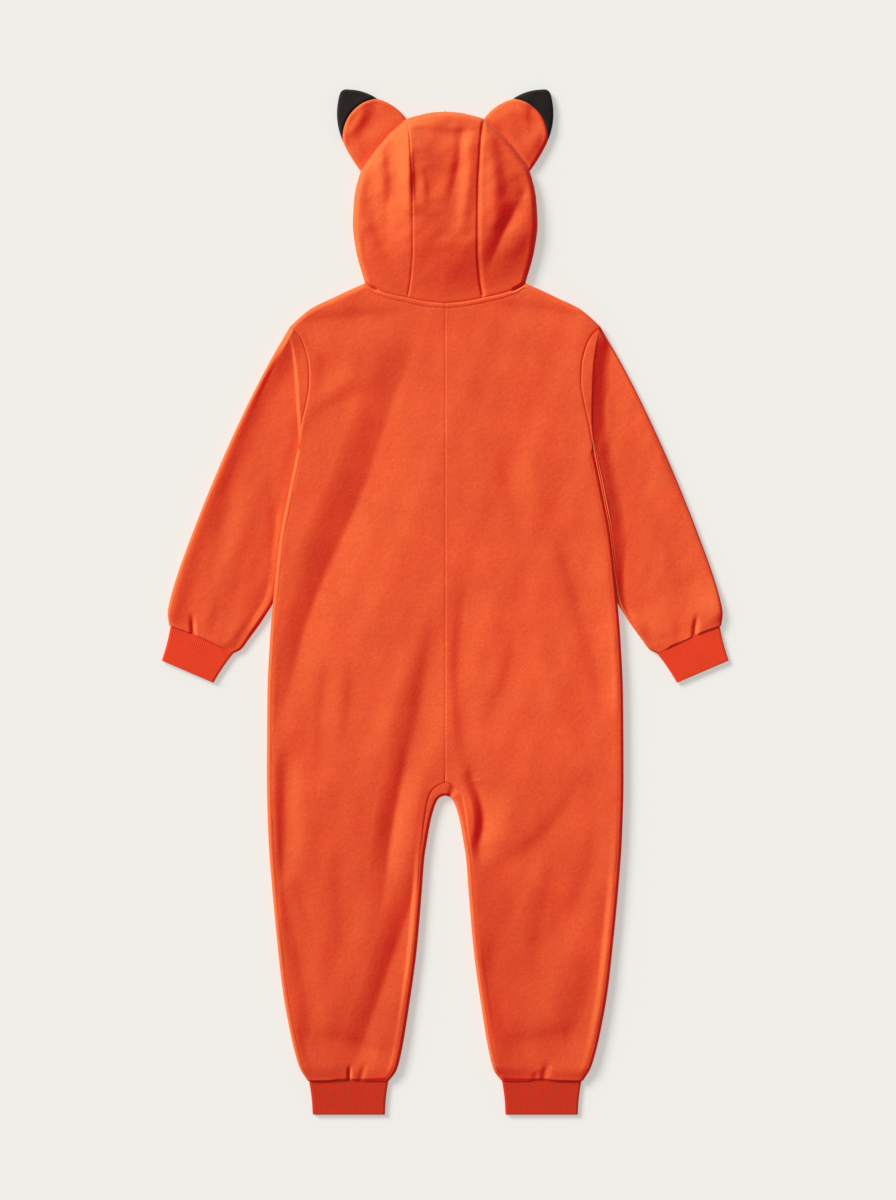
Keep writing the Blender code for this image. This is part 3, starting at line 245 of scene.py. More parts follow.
HOOD_FOLDS = [
    Fold(-41, 548, -41, 440, 0, 26, 6.5, 2.0, 2.0),
    Fold(-37, 510, -35.5, 462, 0, 4, -3.6),
    Fold(-70, 520, -68, 450, 4, 7, -2.4),
    Fold(-26, 500, -20, 462, 2, 6, -2.2),
    Fold(16, 536, 6, 472, 2, 7, -3.4),
    Fold(24, 532, 16, 436, 2, 8, 2.4),
    Fold(48, 540, 52, 440, 2, 9, 2.2),
    Fold(84, 455, 55, 394, -1, 15, -3.8, 1.4, 1.8),
    Fold(58, 520, 70, 464, 0, 11, -2.8),
    Fold(-78, 522, -62, 440, -4, 11, 2.4),
    Fold(-32, 542, 36, 542, -5, 6, -1.6, 1.6),
    Fold(-90, 470, -48, 372, -9, 13, -4.6),
    Fold(0, 400, 40, 396, 0, 11, -1.2),
]
EAR_FOLDS = [
    Fold(-96, 572, -116, 538, 4, 6, 1.3),
    Fold(-80, 570, -98, 540, 0, 7, -1.2),
    Fold(104, 584, 98, 545, -4, 5, -1.5),
    Fold(78, 566, 92, 560, 0, 6, 0.9),
]
DOWN_LIGHT = np.array((0.77, -0.64))


def fold_height(folds, x, y):
    """Sum over the folds of depth * exp(-(across/width)^2), across a bowed line, faded past
    its ends. The table gives the line of the steep wall, nearer the light. The middle lies a
    part of the width beyond it, and a trough's far side rises more slowly. A sharp fold is
    depth * (1 - |across|/width)^1.6 with its bottom rounded, and its line is the bottom's."""
    total = np.zeros(np.broadcast(x, y).shape)
    for fold in folds:
        run = np.array((fold.x1 - fold.x0, fold.y1 - fold.y0)) * MM
        length = np.hypot(*run)
        ahead = run / length
        start = np.array((fold.x0, fold.y0)) * MM
        if not fold.sharp:
            start = start + DOWN_LIGHT * 0.7 * fold.width * MM
        dx, dy = x - start[0], y - start[1]
        part = (dx * ahead[0] + dy * ahead[1]) / length
        inside = np.clip(part, 0, 1)
        across = dx * -ahead[1] + dy * ahead[0] - 4 * fold.bow * MM * inside * (1 - inside)
        beyond = (part - inside) * length
        far = across * np.sign(DOWN_LIGHT @ (-ahead[1], ahead[0])) > 0
        lopsided = far & ((fold.depth < 0) | (fold.sharp > 0))
        wide = fold.width * MM * np.where(lopsided, fold.far, 1.0)
        if fold.sharp:
            off = np.hypot(across, fold.sharp * MM) - fold.sharp * MM
            bell = np.clip(1 - off / wide, 0, 1) ** 1.6
        else:
            bell = np.exp(-(across / wide) ** 2)
        bell = bell * np.exp(-(beyond / (min(fold.width, 20) * 1.6 * MM)) ** 2)
        total += fold.depth * MM * bell * (0.5 + 0.5 * np.sin(math.pi * inside) ** 0.7)
    return total


def soft_waves(x, y, size, seed):
    """Slow unevenness of about one unit: seven sine waves of random direction, near size long."""
    random = np.random.default_rng(seed)
    turn, phase = random.uniform(0, math.pi, 7), random.uniform(0, 2 * math.pi, 7)
    rate = 2 * math.pi / (size * random.uniform(0.7, 1.5, 7))
    waves = [np.sin((x * math.cos(t) + y * math.sin(t)) * r + p)
             for t, r, p in zip(turn, rate, phase)]
    return sum(waves) / 7 ** 0.5


print(sum(map(len, (BODY_FOLDS, SLEEVE_FOLDS, HOOD_FOLDS, EAR_FOLDS))), "folds")

# %% [markdown]
# ## Finishes
#
# Brushed fleece is a knit whose loops have been raised into a short nap. It has no gloss. What it
# shows is a fine mottle where the fibres lie this way and that, a slower drift in shade where a
# hand has stroked them, and a paler fuzz where the surface turns away. Noise drives the first
# two in colour and in bump, and the shader's sheen gives the fuzz. Light and shade are painted
# into the colour as well: paler on slopes that face the lamp, deeper on those that face away,
# and darker towards the feet. Image textures would only hold one lighting of it.

# %% Materials
def add_node(tree, kind, **sockets):
    """A shader node with its input sockets set by name."""
    node = tree.nodes.new(kind)
    for name, value in sockets.items():
        node.inputs[name.replace("_", " ")].default_value = value
    return node


def noise_of(tree, coordinates, scale, detail=3.0, roughness=0.55):
    """Noise on object coordinates: scale is in waves to the metre."""
    node = add_node(tree, "ShaderNodeTexNoise", Scale=scale, Detail=detail, Roughness=roughness)
    tree.links.new(coordinates, node.inputs["Vector"])
    return node.outputs["Fac"]


def ranged(tree, value, low, high, start=0.3, end=0.7):
    """A noise value mapped from start..end to low..high."""
    node = add_node(tree, "ShaderNodeMapRange")
    for place, number in zip(("From Min", "From Max", "To Min", "To Max"), (start, end, low, high)):
        node.inputs[place].default_value = number
    tree.links.new(value, node.inputs["Value"])
    return node.outputs["Result"]


def combine(tree, kind, a, b):
    """Sum or product of two values."""
    node = tree.nodes.new("ShaderNodeMath")
    node.operation = kind
    for socket, value in zip(node.inputs, (a, b)):
        if isinstance(value, float):
            socket.default_value = value
        else:
            tree.links.new(value, socket)
    return node.outputs[0]


def shaded(tree, colour, factor):
    """A plain colour times a value, for lighter and darker places."""
    node = tree.nodes.new("ShaderNodeVectorMath")
    node.operation = "SCALE"
    if isinstance(colour, tuple):
        node.inputs[0].default_value = colour
    else:
        tree.links.new(colour, node.inputs[0])
    tree.links.new(factor, node.inputs["Scale"])
    return node.outputs[0]


def bumped(tree, height, distance, strength, under=None):
    """A bump of a height in metres."""
    node = add_node(tree, "ShaderNodeBump", Distance=distance, Strength=strength)
    tree.links.new(height, node.inputs["Height"])
    if under is not None:
        tree.links.new(under, node.inputs["Normal"])
    return node.outputs["Normal"]


def lamp_slope_colour(tree, where, deep, pale, reach=0.38):
    """Painted light and shade: the deep colour on slopes that face away from the lamp, the pale one
    on slopes that face it. Down the legs the mix moves towards the deep colour, as more painted
    shade."""
    slope = tree.nodes.new("ShaderNodeAttribute")
    slope.attribute_name = "faces_lamp"
    # Painted shade: down the legs the mix is moved towards the deep colour.
    toward_feet_shade = combine(tree, "ADD", slope.outputs["Fac"], falloff_shade(tree, where, -0.08, 0.0))
    mix = tree.nodes.new("ShaderNodeMix")
    mix.data_type = "RGBA"
    mix.inputs["A"].default_value = (*deep, 1)
    mix.inputs["B"].default_value = (*pale, 1)
    tree.links.new(ranged(tree, toward_feet_shade, 0.0, 1.0, -reach, reach), mix.inputs[0])
    return mix.outputs[2]


def falloff_shade(tree, where, least, most=1.0):
    """Painted shade: a value that falls from most at the waist to least at the ankles, as if the
    lamp lit the upper suit more.
    """
    split = tree.nodes.new("ShaderNodeSeparateXYZ")
    tree.links.new(where, split.inputs[0])
    return ranged(tree, split.outputs["Y"], least, most, -0.5, -0.12)


def new_finish(name):
    """An empty finish: the material, its tree, its shader and its coordinates."""
    made = bpy.data.materials.new(name)
    made.use_nodes = True
    tree = made.node_tree
    coordinates = tree.nodes.new("ShaderNodeTexCoord").outputs
    return made, tree, tree.nodes["Principled BSDF"], coordinates


def product(tree, first, *others):
    """Product of several values."""
    for other in others:
        first = combine(tree, "MULTIPLY", first, other)
    return first


def fleece_finish(name, deep, pale, sheen, sheen_tint, mottle=0.10, nap=0.5):
    """Nap: fine and middling noise in colour and bump, slow drift in shade, sheen for fuzz. Painted
    light and shade: the colour goes from deep to pale as a slope turns to the lamp, and darkens
    towards the feet.
    """
    made, tree, shader, coordinates = new_finish(name)
    where = coordinates["Object"]
    fine = noise_of(tree, where, 520.0, 4.0, 0.65)
    tuft = noise_of(tree, where, 190.0, 3.0, 0.6)
    drift = noise_of(tree, where, 16.0, 3.0, 0.5)
    # Painted shade: the last factor darkens the fleece towards the feet.
    shade = product(tree, ranged(tree, fine, 1 - mottle, 1 + mottle),
                    ranged(tree, tuft, 1 - 0.45 * mottle, 1 + 0.45 * mottle),
                    ranged(tree, drift, 0.955, 1.045), falloff_shade(tree, where, 0.90))
    colour = shaded(tree, lamp_slope_colour(tree, where, deep, pale), shade)
    tree.links.new(colour, shader.inputs["Base Color"])
    height = combine(tree, "ADD", combine(tree, "MULTIPLY", fine, 0.6), tuft)
    tree.links.new(bumped(tree, height, 0.0012, nap), shader.inputs["Normal"])
    shader.inputs["Roughness"].default_value = 0.95
    shader.inputs["Specular IOR Level"].default_value = 0.15
    shader.inputs["Sheen Weight"].default_value = sheen
    shader.inputs["Sheen Roughness"].default_value = 0.45
    shader.inputs["Sheen Tint"].default_value = (*sheen_tint, 1)
    return made


RIB_PITCH, COURSE_PITCH = 2.1 * MM, 1.2 * MM


def rib_finish(name, colour):
    """Fine rib knit: rows of stitches across the ribs, read from the piece's own UV in metres."""
    made, tree, shader, coordinates = new_finish(name)
    where = coordinates["Object"]
    split = tree.nodes.new("ShaderNodeSeparateXYZ")
    tree.links.new(coordinates["UV"], split.inputs[0])
    rib, course = (combine(tree, "SINE", product(tree, split.outputs[axis], math.tau / pitch), 0.0)
                   for axis, pitch in (("X", RIB_PITCH), ("Y", COURSE_PITCH)))
    speckle = noise_of(tree, where, 700.0)
    slow = noise_of(tree, where, 30.0)
    # Painted shade: the colour is lighter on the ribs and darker between them, in step with their
    # relief, and darker towards the ankles.
    shade = product(tree, ranged(tree, rib, 0.94, 1.04, -1, 1), ranged(tree, speckle, 0.93, 1.07),
                    ranged(tree, slow, 0.96, 1.04), falloff_shade(tree, where, 0.74))
    tree.links.new(shaded(tree, colour, shade), shader.inputs["Base Color"])
    relief = combine(tree, "ADD", combine(tree, "MULTIPLY", course, 0.25), speckle)
    tree.links.new(bumped(tree, relief, 0.0004, 0.5), shader.inputs["Normal"])
    shader.inputs["Roughness"].default_value = 0.85
    shader.inputs["Specular IOR Level"].default_value = 0.25
    shader.inputs["Sheen Weight"].default_value = 0.12
    shader.inputs["Sheen Tint"].default_value = (1.0, 0.45, 0.3, 1)
    return made


def metal_finish(name, colour):
    """Satin metal with faint brushing."""
    made, tree, shader, coordinates = new_finish(name)
    where = coordinates["Object"]
    stretch = tree.nodes.new("ShaderNodeMapping")
    stretch.inputs["Scale"].default_value = (900, 60, 900)
    tree.links.new(where, stretch.inputs["Vector"])
    brush = noise_of(tree, stretch.outputs[0], 1.0)
    tree.links.new(shaded(tree, colour, ranged(tree, brush, 0.9, 1.08)),
                   shader.inputs["Base Color"])
    tree.links.new(ranged(tree, brush, 0.28, 0.45), shader.inputs["Roughness"])
    tree.links.new(bumped(tree, brush, 0.00005, 0.4), shader.inputs["Normal"])
    shader.inputs["Metallic"].default_value = 1.0
    return made


# Each fleece's first colour is painted shade, for slopes that face away from the lamp, and its
# second is painted light, for slopes that face it.
ORANGE = fleece_finish("orange_fleece", (0.775, 0.011, 0.006), (0.895, 0.174, 0.049), 0.3,
                       (1.0, 0.50, 0.36))
BLACK = fleece_finish("black_fleece", (0.013, 0.009, 0.009), (0.022, 0.016, 0.015), 0.12,
                      (0.6, 0.5, 0.45), 0.25)
# The ankle rib is redder than the wrist rib, as painted shade towards the feet.
CUFF_RIB = {"wrist_cuff_": rib_finish("wrist_rib", (0.82, 0.048, 0.0110)),
            "ankle_cuff_": rib_finish("ankle_rib", (0.82, 0.037, 0.0080))}
TAPE_CLOTH = rib_finish("zip_tape_weave", (0.60, 0.05, 0.02))
THREAD = rib_finish("thread", (0.80, 0.09, 0.03))
STEEL = metal_finish("zip_steel", (0.62, 0.61, 0.58))
print("finishes:", [m.name for m in bpy.data.materials])

# %% [markdown]
# ## From grids to cloth
#
# Each panel is a grid of points, or a few grids that share points along a fold. The points that
# coincide are merged, each gets the mean of the normals round it, and the inner side of the
# cloth is the same surface moved in by the cloth's thickness. Rims close the wall, so that every
# panel is one closed skin with a cut edge of its own, as real fleece has.

# %% Making a closed wall of cloth
# Level way towards the lamp: slopes that face it get painted light, slopes that face away painted
# shade.
TOWARD_LAMP = np.array((-0.77, 0.64, 0))


def weld(grids):
    """Points and quads of several grids as one surface, with coincident points shared."""
    corners, points, start = [], [], 0
    for grid in grids:
        high, wide = grid.shape[:2]
        index = np.arange(start, start + high * wide).reshape(high, wide)
        corners.append(np.stack([index[:-1, :-1], index[:-1, 1:], index[1:, 1:], index[1:, :-1]],
                                axis=-1).reshape(-1, 4))
        points.append(grid.reshape(-1, 3))
        start += high * wide
    points, faces = np.concatenate(points), np.concatenate(corners)
    _, first, shared = np.unique(np.round(points, 6), axis=0, return_index=True,
                                 return_inverse=True)
    return points[first], shared.reshape(-1)[faces], first


def quad_normals(points, faces):
    """Cross product of each quad's diagonals: its normal, as long as twice its area."""
    return np.cross(points[faces[:, 2]] - points[faces[:, 0]],
                    points[faces[:, 3]] - points[faces[:, 1]])


def point_normals(points, faces):
    """Mean of the normals of the quads round each point."""
    across = quad_normals(points, faces)
    normals = np.stack([sum(np.bincount(faces[:, corner], across[:, axis], len(points))
                            for corner in range(4)) for axis in range(3)], axis=1)
    return normals / np.maximum(np.linalg.norm(normals, axis=1, keepdims=True), 1e-12)


def closed_skin(faces, count):
    """Quads of a closed wall: the outer side, the inner side turned over, and a rim along each
    edge that only one quad has. The inner points follow the count outer ones."""
    ends = np.concatenate([faces[:, [0, 1]], faces[:, [1, 2]], faces[:, [2, 3]], faces[:, [3, 0]]])
    ends = ends[ends[:, 0] != ends[:, 1]]
    forward = ends[:, 0].astype(np.int64) * count + ends[:, 1]
    backward = ends[:, 1].astype(np.int64) * count + ends[:, 0]
    near, off = ends[~np.isin(forward, backward)].T
    rims = np.column_stack([off, near, near + count, off + count])
    return np.concatenate([faces, faces[:, ::-1] + count, rims])


def surface_area(points, faces):
    """Sum of the quads' areas, in square metres."""
    return float(np.linalg.norm(quad_normals(points, faces), axis=1).sum() / 2)


def cloth_piece(name, grids, thickness, finish, side=1, beyond=None, marks=None):
    """Closed wall from grids of its outer surface. beyond is a height on the inner side, and
    marks holds a UV in metres for each point."""
    mirror = np.array((side, 1, 1))
    points, faces, first = weld([grid * mirror for grid in grids])
    middle = points.mean(axis=0)
    if beyond is not None:
        middle[2] = beyond
    if ((points[faces].mean(axis=1) - middle) * quad_normals(points, faces)).sum() < 0:
        faces = faces[:, ::-1]
    inner = points - point_normals(points, faces) * thickness
    inner = np.clip(inner, points.min(axis=0), points.max(axis=0))
    skin = closed_skin(faces, len(points))
    everything = np.concatenate([points, inner])
    if marks is not None:
        marks = np.concatenate([mark.reshape(-1, 2) for mark in marks])[first]
        marks = np.concatenate([marks, marks])
    made = mesh_piece(name, everything, skin, finish, marks)
    # Painted light and shade: each point's slope towards the lamp, stored for the colour.
    brush(made, np.tile(point_normals(points, faces), (2, 1)))
    made["area"] = surface_area(points, faces)
    return made


def brush(made, normals):
    """Store how far each point's slope faces the lamp, from -1 to 1, for painted light and shade.
    """
    nap = made.data.attributes.new("faces_lamp", "FLOAT", "POINT")
    nap.data.foreach_set("value", (normals @ TOWARD_LAMP).astype(np.float32))


def mesh_piece(name, points, faces, finish, marks=None):
    """Object from arrays of points and quads, shaded smooth. Quads with a repeated corner
    become triangles."""
    mesh = bpy.data.meshes.new(name)
    mesh.from_pydata(points.tolist(), [], faces.tolist())
    if marks is not None:
        layer = mesh.uv_layers.new(name="metres")
        at = np.zeros(len(mesh.loops), np.int32)
        mesh.loops.foreach_get("vertex_index", at)
        layer.data.foreach_set("uv", marks[at].astype(np.float32).reshape(-1))
    mesh.validate()
    mesh.shade_smooth()
    mesh.set_sharp_from_angle(angle=math.radians(60))
    mesh.materials.append(finish)
    made = bpy.data.objects.new(name, mesh)
    bpy.context.scene.collection.objects.link(made)
    return made


def dress(made, slot, *nodes, body="suit"):
    """The piece stands for its solids, which it hides, and rides on their body. slot is not used.
    """
    made.name = nodes[0] + "_cloth"
    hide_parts(*nodes)
    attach(made, body)
    size = len(made.data.polygons)
    print(made.name, "-", size, "faces, for", ", ".join(nodes))
    return made


def seam_edge(distance, drop=0.36 * MM, roll=0.0):
    """Height added beside a seam: it dives into the seam, and a soft roll stands beside it."""
    dive = -drop * np.exp(-(distance / (0.95 * MM)) ** 2)
    return dive + roll * np.exp(-((distance - 3.2 * MM) / (2.2 * MM)) ** 2)


# %% [markdown]
# ## The two back panels
#
# A back is cut in one with its leg. Its edges are the armhole, the side seam, the shoulder fold,
# the neck, the centre seam and the seam up the inside of the leg. The grid runs from the side
# edge to the middle, and row by row from the shoulder to the hem. Its height is that of two
# layers of fleece with some air between them, and more where the cloth turns over at an edge.

# %% Body panels
STITCH_LINE = 5.8 * MM
CROTCH_LAY = 10.6 * MM
NECK_FINE = polyline(NECK_BACK, np.linspace(0, 1, 400))
SHOULDER_SHARE = 0.46
ARMHOLE_ROWS = np.array((0, 0.02, 0.05, 0.12, 0.24, 0.40, 0.57, 0.74, 0.90, 1.0))
TORSO_Y = np.linspace(164, -196, 15) * MM
LEG_PARTS = np.array((0, 0.018, 0.036, 0.06, 0.10, 0.16, 0.24, 0.34, 0.45, 0.56, 0.67, 0.78, 0.87,
                      0.94, 0.975, 1.0))


def leg_fold():
    """Fold down the inside of a leg as 400 points, the way into the leg from each, and the
    length so far."""
    fine = polyline(LEG_INSIDE, np.linspace(0, 1, 400))
    ahead = np.gradient(fine, axis=0)
    ahead /= np.linalg.norm(ahead, axis=1, keepdims=True)
    into = np.column_stack([-ahead[:, 1], ahead[:, 0]])
    into[0], into[-1] = (0, 1), (1, 0)
    length = np.concatenate([[0], np.cumsum(np.hypot(*np.diff(fine, axis=0).T))])
    return fine, into, length


def body_edges(each):
    """Rows of a body panel: where each starts, at the armhole or side, and ends, at the middle
    or the inside of the leg. each is the rows made for each row of the pattern."""
    steps = len(ARMHOLE_ROWS) + len(TORSO_Y) + len(LEG_PARTS) - 1
    at = np.linspace(0, steps, steps * each + 1)
    marks = np.arange(steps + 1)
    arm, torso = len(ARMHOLE_ROWS), len(TORSO_Y)
    fraction = np.interp(at, marks[:arm], ARMHOLE_ROWS)
    fine, into, length = leg_fold()
    parts = np.interp(at, marks[arm + torso:], LEG_PARTS)
    place = parts * length[-1]
    fold = np.column_stack([np.interp(place, length, fine[:, i]) for i in (0, 1)])
    way = np.column_stack([np.interp(place, length, into[:, i]) for i in (0, 1)])
    way /= np.linalg.norm(way, axis=1, keepdims=True)
    fold_y = np.array([np.interp(p * length[-1], length, fine[:, 1]) for p in LEG_PARTS])
    side_y = np.concatenate([[UNDERARM_Y], TORSO_Y, np.maximum(fold_y + 12 * MM * (1 - LEG_PARTS),
                                                             HEM_Y)])
    side_y = np.interp(at, marks[arm - 1:], side_y)
    on_armhole = at <= arm - 1
    on_leg = at >= arm + torso
    centre_y = np.concatenate([[CHEST_Y], TORSO_Y, [CROTCH_SEAM_Y]])
    centre_y = np.interp(at, marks[arm - 1:arm + torso + 1], centre_y)
    return at, fraction, side_y, centre_y, fold, way, place, on_armhole, on_leg


def top_edge(columns, neck):
    """Shoulder line from the sleeve to the neck, then the neck seam to the middle."""
    outer = columns[columns <= SHOULDER_SHARE] / SHOULDER_SHARE
    inner = (columns[columns > SHOULDER_SHARE] - SHOULDER_SHARE) / (1 - SHOULDER_SHARE)
    return np.concatenate([polyline(SHOULDER, 1 - outer), polyline(neck, 1 - inner)])


def panel_plan(each, columns, neck_y, neck, side_in, leg_in):
    """Plan of a body panel: a straight mix of its two edges in each row, bent to the shoulder
    and neck in the top rows."""
    at, fraction, side_y, centre_y, fold, way, place, on_armhole, on_leg = body_edges(each)
    armhole = polyline(ARMHOLE, fraction)
    side = np.column_stack([along(BODY_SIDE, side_y) - side_in(side_y), side_y])
    start = np.where(on_armhole[:, None], armhole, side)
    middle_y = np.where(on_armhole, neck_y + (CHEST_Y - neck_y) * fraction, centre_y)
    middle = np.column_stack([np.full(len(at), -SEAM_LAP), middle_y])
    legs = fold + way * leg_in(place)[:, None]
    legs[:, 0] = np.maximum(legs[:, 0], -SEAM_LAP)
    end = np.where(on_leg[:, None], legs, middle)
    plan = blend(start[:, None], end[:, None], columns)
    edge = top_edge(columns, neck)
    edge[0], edge[-1] = start[0], end[0]
    decay = np.where(on_armhole, (1 - fraction) ** 1.6, 0)
    plan += (edge - plan[0]) * decay[:, None, None]
    return plan, start, end, on_armhole, on_leg


def shoulder_round(x, y, radius):
    """Share of the height reached near the shoulder fold: sqrt(1 - (1 - distance/radius)^2)."""
    line = along(SHOULDER, np.clip(x, NECK_SIDE_X, None), key=1)
    away = np.where(x > NECK_SIDE_X - 6 * MM, (line - y) * math.cos(math.radians(32)), 1.0)
    return np.sqrt(1 - (1 - np.clip(away / radius, 0, 1)) ** 2)


def crotch_inset(place):
    """How far the seam round the crotch lies in from the fold."""
    return along(CROTCH_INSET, place)


BACK_COLUMNS = np.concatenate([np.linspace(0, 0.06, 9)[:-1], np.linspace(0.06, 0.46, 31)[:-1],
                               np.linspace(0.46, 0.93, 36), np.linspace(0.93, 1, 12)[1:]])


def hem_roll(height, above, gape=0.0, lay=HEM_LAY):
    """Upper side near a hem: a round lip over the first millimetres, then the panel's height.
    The lip is wider where it gapes."""
    lip = np.sqrt(1 - (1 - np.clip(above / (2.0 * MM + gape), 0, 1)) ** 2)
    settled = lay + (height - lay) * smoothstep((above - 2 * MM) / (16 * MM))
    seam = np.minimum(HEM_SEAM - gape, lay)
    return seam + (settled - seam) * lip


def hem_tucks(tucks, across, above):
    """Small pleats caught in a hem: troughs that fade out up the panel. Each tuck is a place
    across the panel, its lean, width, length and depth in millimetres."""
    total = np.zeros(across.shape)
    for place, lean, width, long, depth in tucks:
        line = across / MM - place - lean * above / MM
        fade = smoothstep((long - above / MM) / (0.6 * long))
        total -= depth * MM * np.exp(-(line / width) ** 2) * fade
    return total


ANKLE_LENS = {-1: -116 * MM, 1: 111 * MM}
ANKLE_TUCKS = {-1: ((-110, 0.02, 1.8, 21, 3.8), (-98, 0.30, 3.6, 24, 1.1)),
               1: ((112, 0.25, 4.4, 26, 1.6), (103, 0.1, 3.4, 14, 0.9))}
WRIST_TUCKS = {-1: ((-289, -0.05, 2.4, 28, 3.2),), 1: ((286, 0.1, 2.4, 28, 3.2),)}


def neck_line(x):
    """Height up the suit of the neck seam at each distance from the middle."""
    return np.interp(np.abs(x), NECK_FINE[:, 0], NECK_FINE[:, 1])


def neck_slit(x):
    """Where the neck seam gapes: 1 in the last centimetre at each end."""
    return smoothstep((np.abs(x) - 75 * MM) / (5 * MM))


def neck_band(x, below):
    """The seam allowance, sewn down below the neck seam: a low band with a groove of stitches
    along its lower edge. It gapes into a small pocket at each end of the neck."""
    near = smoothstep((NECK_SIDE_X + 1 * MM - np.abs(x)) / (3 * MM))
    band = smoothstep(below / (2 * MM)) * smoothstep((STITCH_LINE - below) / (1.6 * MM))
    groove = np.exp(-((below - STITCH_LINE) / (0.9 * MM)) ** 2)
    slit = neck_slit(x)
    seam = np.exp(-(below / ((0.8 + 1.0 * slit) * MM)) ** 2) * (0.3 + 4.7 * slit)
    return (0.3 * band - 0.25 * groove - seam) * MM * near


def side_inset(y):
    """How far the side seam lies in from the fold: nothing at the underarm."""
    return SIDE_SEAM_INSET * smoothstep((UNDERARM_Y - y) / (19 * MM))


def back_panel(side):
    """A back with its leg: a level lay, plus exp(-(distance/reach)^2) rises at the turned edges,
    the folds, slow waves, dips at the seams, and a round lip with small pleats at the hem."""
    plan, start, end, _, _ = panel_plan(
        8, BACK_COLUMNS, NECK_BACK_Y, NECK_BACK, side_inset, crotch_inset)
    x, y = plan[..., 0], plan[..., 1]
    from_start = np.hypot(*(plan - start[:, None]).transpose(2, 0, 1))
    from_end = np.hypot(*(plan - end[:, None]).transpose(2, 0, 1))
    full = smoothstep((312 * MM - start[:, 1]) / (50 * MM))[:, None]
    height = LAY + (EDGE[side] - LAY) * np.exp(-(from_start / FOLD_REACH) ** 2) * full
    down_leg = smoothstep((CROTCH_FOLD_Y - y) / (60 * MM))
    height += (EDGE[side] - LAY) * np.exp(-(from_end / FOLD_REACH) ** 2) * down_leg
    height -= (LAY - CROTCH_LAY) * np.exp(-(np.hypot(x, y - CROTCH_FOLD_Y) / (34 * MM)) ** 2)
    near_leg = 1 + (smoothstep(from_end / (6 * MM)) - 1) * down_leg
    rest = smoothstep(from_start / (9 * MM)) * near_leg
    height += fold_height(BODY_FOLDS, side * x, y) * rest
    height += 0.38 * MM * soft_waves(side * x, 0.5 * y, 52 * MM, 3)
    height += 0.12 * MM * soft_waves(side * x, 0.6 * y, 21 * MM, 5)
    arm = smoothstep((start[:, 1] - 176 * MM) / (10 * MM))[:, None]
    height += seam_edge(from_start, (0.2 + 0.6 * arm) * MM)
    round_crotch = smoothstep((-190 * MM - y) / (15 * MM))
    round_crotch -= 1.4 * smoothstep((-250 * MM - y) / (60 * MM))
    height += seam_edge(from_end, (0.36 + 0.55 * round_crotch) * MM)
    height += neck_band(x, neck_line(x) - y)
    lens = np.exp(-((side * x - ANKLE_LENS[side]) / (13 * MM)) ** 4)
    height = hem_roll(height, y - HEM_Y, 2.6 * MM * lens)
    height += hem_tucks(ANKLE_TUCKS[side], side * x, y - HEM_Y)
    height = np.where(y - HEM_Y < 40 * MM, np.maximum(height, 2 * FLEECE + 0.3 * MM), height)
    middle = FOLD / 2
    height = middle + (height - middle) * shoulder_round(x, y, FOLD / 2)
    return cloth_piece("back_" + SIDES[side], [np.dstack([x, y, height])], FLEECE, ORANGE, side,
                       -1.0)


backs = {side: dress(back_panel(side), "fleece", "back_" + SIDES[side]) for side in SIDES}
print("each back shows", round(backs[1]["area"], 3), "square metres")

# %% [markdown]
# ## The two front panels
#
# The fronts lie underneath. Each wraps round the side and the inside of the leg, because those
# seams sit a few millimetres in from the folded edge, so a narrow strip of front shows all round
# the body. The strip is a part of a circle carried along the side.

# %% Fronts
FRONT_COLUMNS = np.concatenate([np.linspace(0, 0.46, 10)[:-1], np.linspace(0.46, 1, 19)])
WRAP_TURN = np.radians(np.linspace(-90, 78, 16))
UNDER_SIDE = 4.6 * MM


def under_side(y):
    """How far the side is tucked in below, where the sleeve's edge lies under it."""
    return UNDER_SIDE * smoothstep((y + 40 * MM) / (50 * MM))


